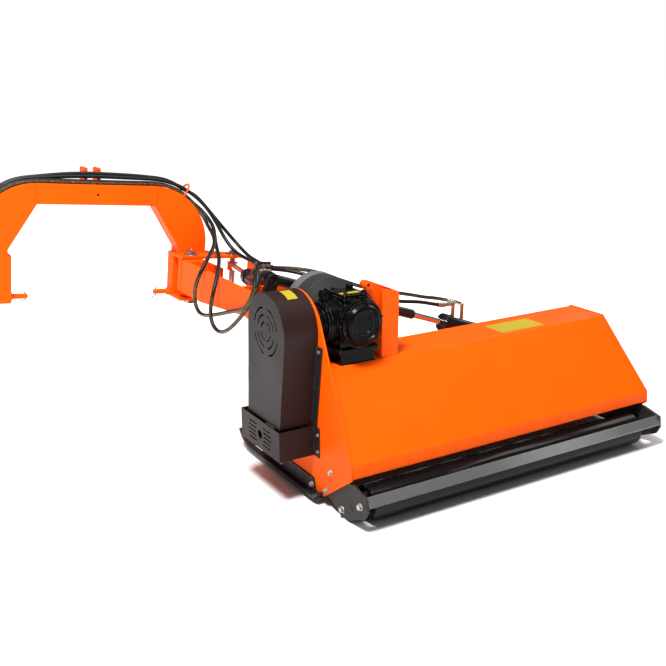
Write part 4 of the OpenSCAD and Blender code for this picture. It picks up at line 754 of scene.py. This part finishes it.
def smooth_route(points, spacing, passes):
    """Cubic through the points, each stretch leaving and arriving along half the way between the
    neighbours. It is then cut into even steps and eased, p = (a + 2 p + b) / 4, with its ends held."""
    slope = (np.vstack([points[1:], points[-1:]]) - np.vstack([points[:1], points[:-1]])) / 2
    t = np.linspace(0, 1, 8, endpoint=False)[:, None, None]
    leave, arrive = slope[:-1], slope[1:]
    curve = (2 * t**3 - 3 * t**2 + 1) * points[:-1] + (t**3 - 2 * t**2 + t) * leave
    curve = curve + (3 * t**2 - 2 * t**3) * points[1:] + (t**3 - t**2) * arrive
    curve = np.vstack([curve.transpose(1, 0, 2).reshape(-1, 3), points[-1:]])
    run = np.concatenate([[0], np.cumsum(np.linalg.norm(np.diff(curve, axis=0), axis=1))])
    at = np.linspace(0, run[-1], int(run[-1] / spacing) + 1)
    path = np.stack([np.interp(at, run, curve[:, k]) for k in range(3)], axis=1)
    for step in range(passes):
        path[1:-1] = (path[:-2] + 2 * path[1:-1] + path[2:]) / 4
    return path


def wrap_uv(mesh, rows, sides, length):
    """UV over a tube's rings: u is metres along it and v goes once round."""
    corner = np.empty(len(mesh.loops), np.int64)
    mesh.loops.foreach_get("vertex_index", corner)
    layer = mesh.uv_layers.new(name="wrap")
    pairs = np.stack([corner // sides / (rows - 1) * length, corner % sides / sides], axis=1)
    layer.data.foreach_set("uv", pairs.ravel())


def hose_cover(name, lit_band_colour, lit_band_half):
    """Rubber cover with the faint cloth wrap of its curing tape. A broken band on the side turned to the
    light takes the given colour: painted light, in the tint that the lit side of the hose shows.
    """
    material, tree, shader = new_material(name, (0.006, 0.006, 0.006), 0.42)
    shader.inputs["Specular IOR Level"].default_value = 0.35
    wrap = tree.nodes.new("ShaderNodeUVMap")
    wrap.uv_map = "wrap"
    parts = tree.nodes.new("ShaderNodeSeparateXYZ")
    tree.links.new(wrap.outputs["UV"], parts.inputs["Vector"])
    # Painted light: a band of the given colour on the side turned to the light, broken by noise.
    lit_band = tree.nodes.new("ShaderNodeMath")
    lit_band.operation = "COMPARE"
    lit_band.inputs[1].default_value = 0.5
    lit_band.inputs[2].default_value = lit_band_half
    turn_to_light = tree.nodes.new("ShaderNodeMath")
    turn_to_light.inputs[1].default_value = 0.35
    tree.links.new(parts.outputs["Y"], turn_to_light.inputs[0])
    once_round = tree.nodes.new("ShaderNodeMath")
    once_round.operation = "FRACT"
    tree.links.new(turn_to_light.outputs["Value"], once_round.inputs[0])
    tree.links.new(once_round.outputs["Value"], lit_band.inputs[0])
    broken = tree.nodes.new("ShaderNodeTexNoise")
    broken.inputs["Scale"].default_value = 60
    broken.inputs["Detail"].default_value = 3
    tree.links.new(wrap.outputs["UV"], broken.inputs["Vector"])
    band_breaks = tree.nodes.new("ShaderNodeMapRange")
    band_breaks.inputs["From Min"].default_value = 0.45
    band_breaks.inputs["From Max"].default_value = 0.6
    tree.links.new(broken.outputs["Fac"], band_breaks.inputs["Value"])
    lit_band_mask = tree.nodes.new("ShaderNodeMath")
    lit_band_mask.operation = "MULTIPLY"
    tree.links.new(lit_band.outputs["Value"], lit_band_mask.inputs[0])
    tree.links.new(band_breaks.outputs["Result"], lit_band_mask.inputs[1])
    hose_colour = tree.nodes.new("ShaderNodeMix")
    hose_colour.data_type = "RGBA"
    hose_colour.inputs["A"].default_value = (0.006, 0.006, 0.006, 1)
    hose_colour.inputs["B"].default_value = (*lit_band_colour, 1)
    tree.links.new(lit_band_mask.outputs["Value"], hose_colour.inputs["Factor"])
    tree.links.new(hose_colour.outputs["Result"], shader.inputs["Base Color"])
    weave = tree.nodes.new("ShaderNodeTexWave")
    weave.inputs["Scale"].default_value = 110
    weave.inputs["Distortion"].default_value = 1.5
    tree.links.new(wrap.outputs["UV"], weave.inputs["Vector"])
    weave_bump = tree.nodes.new("ShaderNodeBump")
    weave_bump.inputs["Strength"].default_value = 0.2
    weave_bump.inputs["Distance"].default_value = 0.0006
    tree.links.new(weave.outputs["Fac"], weave_bump.inputs["Height"])
    tree.links.new(weave_bump.outputs["Normal"], shader.inputs["Normal"])
    return material


# The ochre and brown bands are painted light on the side of these hoses turned to the light; the plain
# hose's band is a faint grey.
ochre_lit_hose = hose_cover("ochre_lit_side_hose", (0.22, 0.17, 0.06), 0.2)
brown_lit_hose = hose_cover("brown_lit_side_hose", (0.15, 0.11, 0.045), 0.2)
plain_hose = hose_cover("plain_hose", (0.02, 0.02, 0.02), 0.07)
swing_a = on_arm([[-912, 1332, 100], [-910, 1332, 150], [-892, 1334, 235], [-848, 1338, 316],
    [-780, 1341, 374], [-718, 1343, 399], [-640, 1344, 407], [-540, 1344, 407], [-440, 1344, 407],
    [-340, 1345, 407], [-250, 1347, 407], [-170, 1351, 407], [-110, 1356, 401], [-62, 1360, 386],
    [-25, 1361, 366], [16, 1359, 334], [50, 1350, 296], [66, 1322, 262], [64, 1276, 236],
    [48, 1190, 214], [25, 1120, 190], [-20, 1053, 160], [-62, 1010, 126], [-88, 1000, 82],
    [-98, 1012, 36], [-99, 1018, -12], [-98, 1000, -50], [-97, 962, -70], [-96, 905, -66],
    [-94, 836, -48], [-92, 760, -24], [-90, 687, 0], [-88, 632, 17], [-87, 601, 28], [-85, 577, 43],
    [-80, 562, 66], [-71, 558, 94], [-60, 567, 120], [-49, 585, 140], [-38, 611, 151], [-28, 637, 150],
    [-17, 666, 142], [-6, 694, 133], [6, 722, 124], [16, 750, 117], [23, 776, 113], [31, 795, 112],
    [47, 813, 112], [68, 826, 112], [92, 830, 112]])
swing_b = on_arm([[-912, 1358, 100], [-910, 1358, 150], [-892, 1358, 235], [-848, 1359, 316],
    [-780, 1360, 374], [-718, 1361, 399], [-640, 1362, 407], [-540, 1362, 407], [-440, 1362, 407],
    [-340, 1363, 407], [-250, 1365, 407], [-170, 1369, 407], [-110, 1374, 401], [-62, 1378, 386],
    [-25, 1379, 366], [20, 1377, 332], [62, 1366, 300], [84, 1334, 268], [82, 1264, 236],
    [66, 1208, 203], [44, 1139, 172], [4, 1023, 144], [-52, 905, 120], [-84, 852, 84], [-104, 830, 38],
    [-113, 826, -12], [-116, 812, -56], [-114, 776, -86], [-111, 726, -90], [-107, 668, -64],
    [-100, 612, -18], [-96, 568, 26], [-91, 538, 62], [-85, 523, 94], [-77, 521, 125], [-67, 531, 155],
    [-57, 552, 177], [-46, 579, 189], [-36, 607, 191], [-25, 635, 184], [-13, 662, 172], [-2, 690, 158],
    [8, 714, 147], [16, 736, 139], [24, 753, 135], [39, 771, 133], [60, 784, 132], [84, 788, 132]])
tilt_a = on_arm([[-912, 1384, 100], [-910, 1384, 150], [-892, 1383, 235], [-848, 1382, 316],
    [-780, 1381, 376], [-718, 1380, 404], [-640, 1380, 414], [-540, 1379, 422], [-440, 1378, 426],
    [-340, 1377, 426], [-250, 1374, 425], [-170, 1369, 424], [-110, 1365, 418], [-58, 1362, 404],
    [-14, 1361, 384], [36, 1353, 352], [86, 1343, 304], [126, 1329, 244], [154, 1306, 188],
    [174, 1266, 146], [190, 1215, 122], [200, 1160, 114], [200, 1100, 112], [193, 1050, 112],
    [190, 1006, 112]])
tilt_b = on_arm([[-912, 1410, 100], [-910, 1410, 150], [-892, 1408, 235], [-848, 1404, 317],
    [-780, 1401, 378], [-718, 1399, 406], [-640, 1397, 418], [-540, 1396, 430], [-440, 1395, 436],
    [-340, 1393, 436], [-250, 1390, 434], [-170, 1386, 430], [-110, 1383, 424], [-58, 1380, 406],
    [-16, 1379, 382], [36, 1376, 360], [92, 1368, 306], [152, 1356, 240], [204, 1338, 182],
    [232, 1310, 146], [240, 1262, 124], [236, 1200, 114], [227, 1130, 112], [216, 1060, 112],
    [212, 1006, 112]])
tilt_rear_a = on_head([[180, 993.5, 684.3], [178, 940, 686], [186, 880, 692], [222, 820, 692],
    [290, 764, 672], [380, 720, 632], [480, 690, 590], [580, 668, 557], [670, 655, 540],
    [750, 646, 529], [820, 641, 511], [860, 640, 502], [884, 640, 500]])
tilt_rear_b = on_head([[201.8, 993.5, 682.2], [204, 940, 686], [216, 880, 694], [256, 830, 696],
    [330, 792, 680], [420, 764, 644], [520, 748, 604], [620, 742, 576], [710, 744, 552],
    [790, 749, 531], [850, 753, 514], [898, 752, 504], [927, 746, 498], [952, 730, 493],
    [968, 705, 490], [974, 676, 489]])

# A hose over the kingpin runs from the hitch, as far as the ring on the arch, to the arm behind it, and one
# behind the bulkhead from the arm to the head; the hoses themselves ride on no body here, only their
# sleeves ride on these. The last stretch of a swing hose, from the top of its loop on, is a piece of its
# own, whose far sleeve rides on the barrel.
over_kingpin = {"a": "hitch", "b": "arm", "start": (0, 0.724, 0), "end": (0, 0.574, 0)}
over_tilt = {"a": "arm", "b": "head", "start": (0, 0.374, 0), "end": (0, 0.15, 0)}
to_barrel = {"a": "arm", "b": "swing_barrel", "start": (0, 0.05, 0), "end": (0, 0.16, 0)}
hose_step, easing_passes, loop_top_y = 0.006, 14, 0.045
hose_parts = []
for name, points, cover in (("swing_hose_a", swing_a, ochre_lit_hose), ("swing_hose_b", swing_b, brown_lit_hose)):
    path = smooth_route(points, hose_step, easing_passes)
    rear = np.argmin(path[:, 1])
    cut = rear + np.searchsorted(path[rear:, 1], loop_top_y)
    hose_parts.append((name, path[:cut + 1], "swing_hoses", over_kingpin, cover, ["near"]))
    hose_parts.append((f"{name}_tail", path[cut:], None, to_barrel, cover, ["far"]))
for name, points, node, bend, cover in (
        ("tilt_hose_a", tilt_a, "tilt_hoses_front", over_kingpin, plain_hose),
        ("tilt_hose_b", tilt_b, "tilt_hoses_front", over_kingpin, plain_hose),
        ("tilt_rear_hose_a", tilt_rear_a, "tilt_hoses_rear", over_tilt, plain_hose),
        ("tilt_rear_hose_b", tilt_rear_b, "tilt_hoses_rear", over_tilt, ochre_lit_hose)):
    path = smooth_route(points, hose_step, easing_passes)
    hose_parts.append((name, path, node, bend, cover, ["near", "far"]))
hose_sides = 20
crimp_length, crimp_rings, crimp_steps = 0.045, 4, 28
crimp_wall, crimp_press = 0.0026, 0.0009
for name, path, node, bend, cover, ends in hose_parts:
    length = np.linalg.norm(np.diff(path, axis=0), axis=1).sum()
    hose_rings = swept_rings(path, hose_radius, hose_sides)
    hose = make_piece(name, hose_rings, tube_faces(len(path), hose_sides), None, "black_rubber", cover)
    wrap_uv(hose.data, len(path), hose_sides, length)
    if node:
        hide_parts(node)
    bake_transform(hose)
    # Crimped sleeve at each fitted end: raised rings, with pressed ones between them and at its ends
    for end in ends:
        way = path if end == "near" else path[::-1]
        run = np.concatenate([[0], np.cumsum(np.linalg.norm(np.diff(way, axis=0), axis=1))])
        at = np.linspace(0.0005, crimp_length, crimp_steps)
        centre = np.stack([np.interp(at, run, way[:, k]) for k in range(3)], axis=1)
        pressed = np.cos(at / crimp_length * 2 * crimp_rings * np.pi) > 0.2
        swell = crimp_wall - crimp_press * pressed
        rings = swept_rings(centre, hose_radius + swell, hose_sides)
        make_piece(f"{name}_{end}_sleeve", rings, tube_faces(len(at), hose_sides),
            bend["a"] if end == "near" else bend["b"], "fitting_brass", crimp_steel)
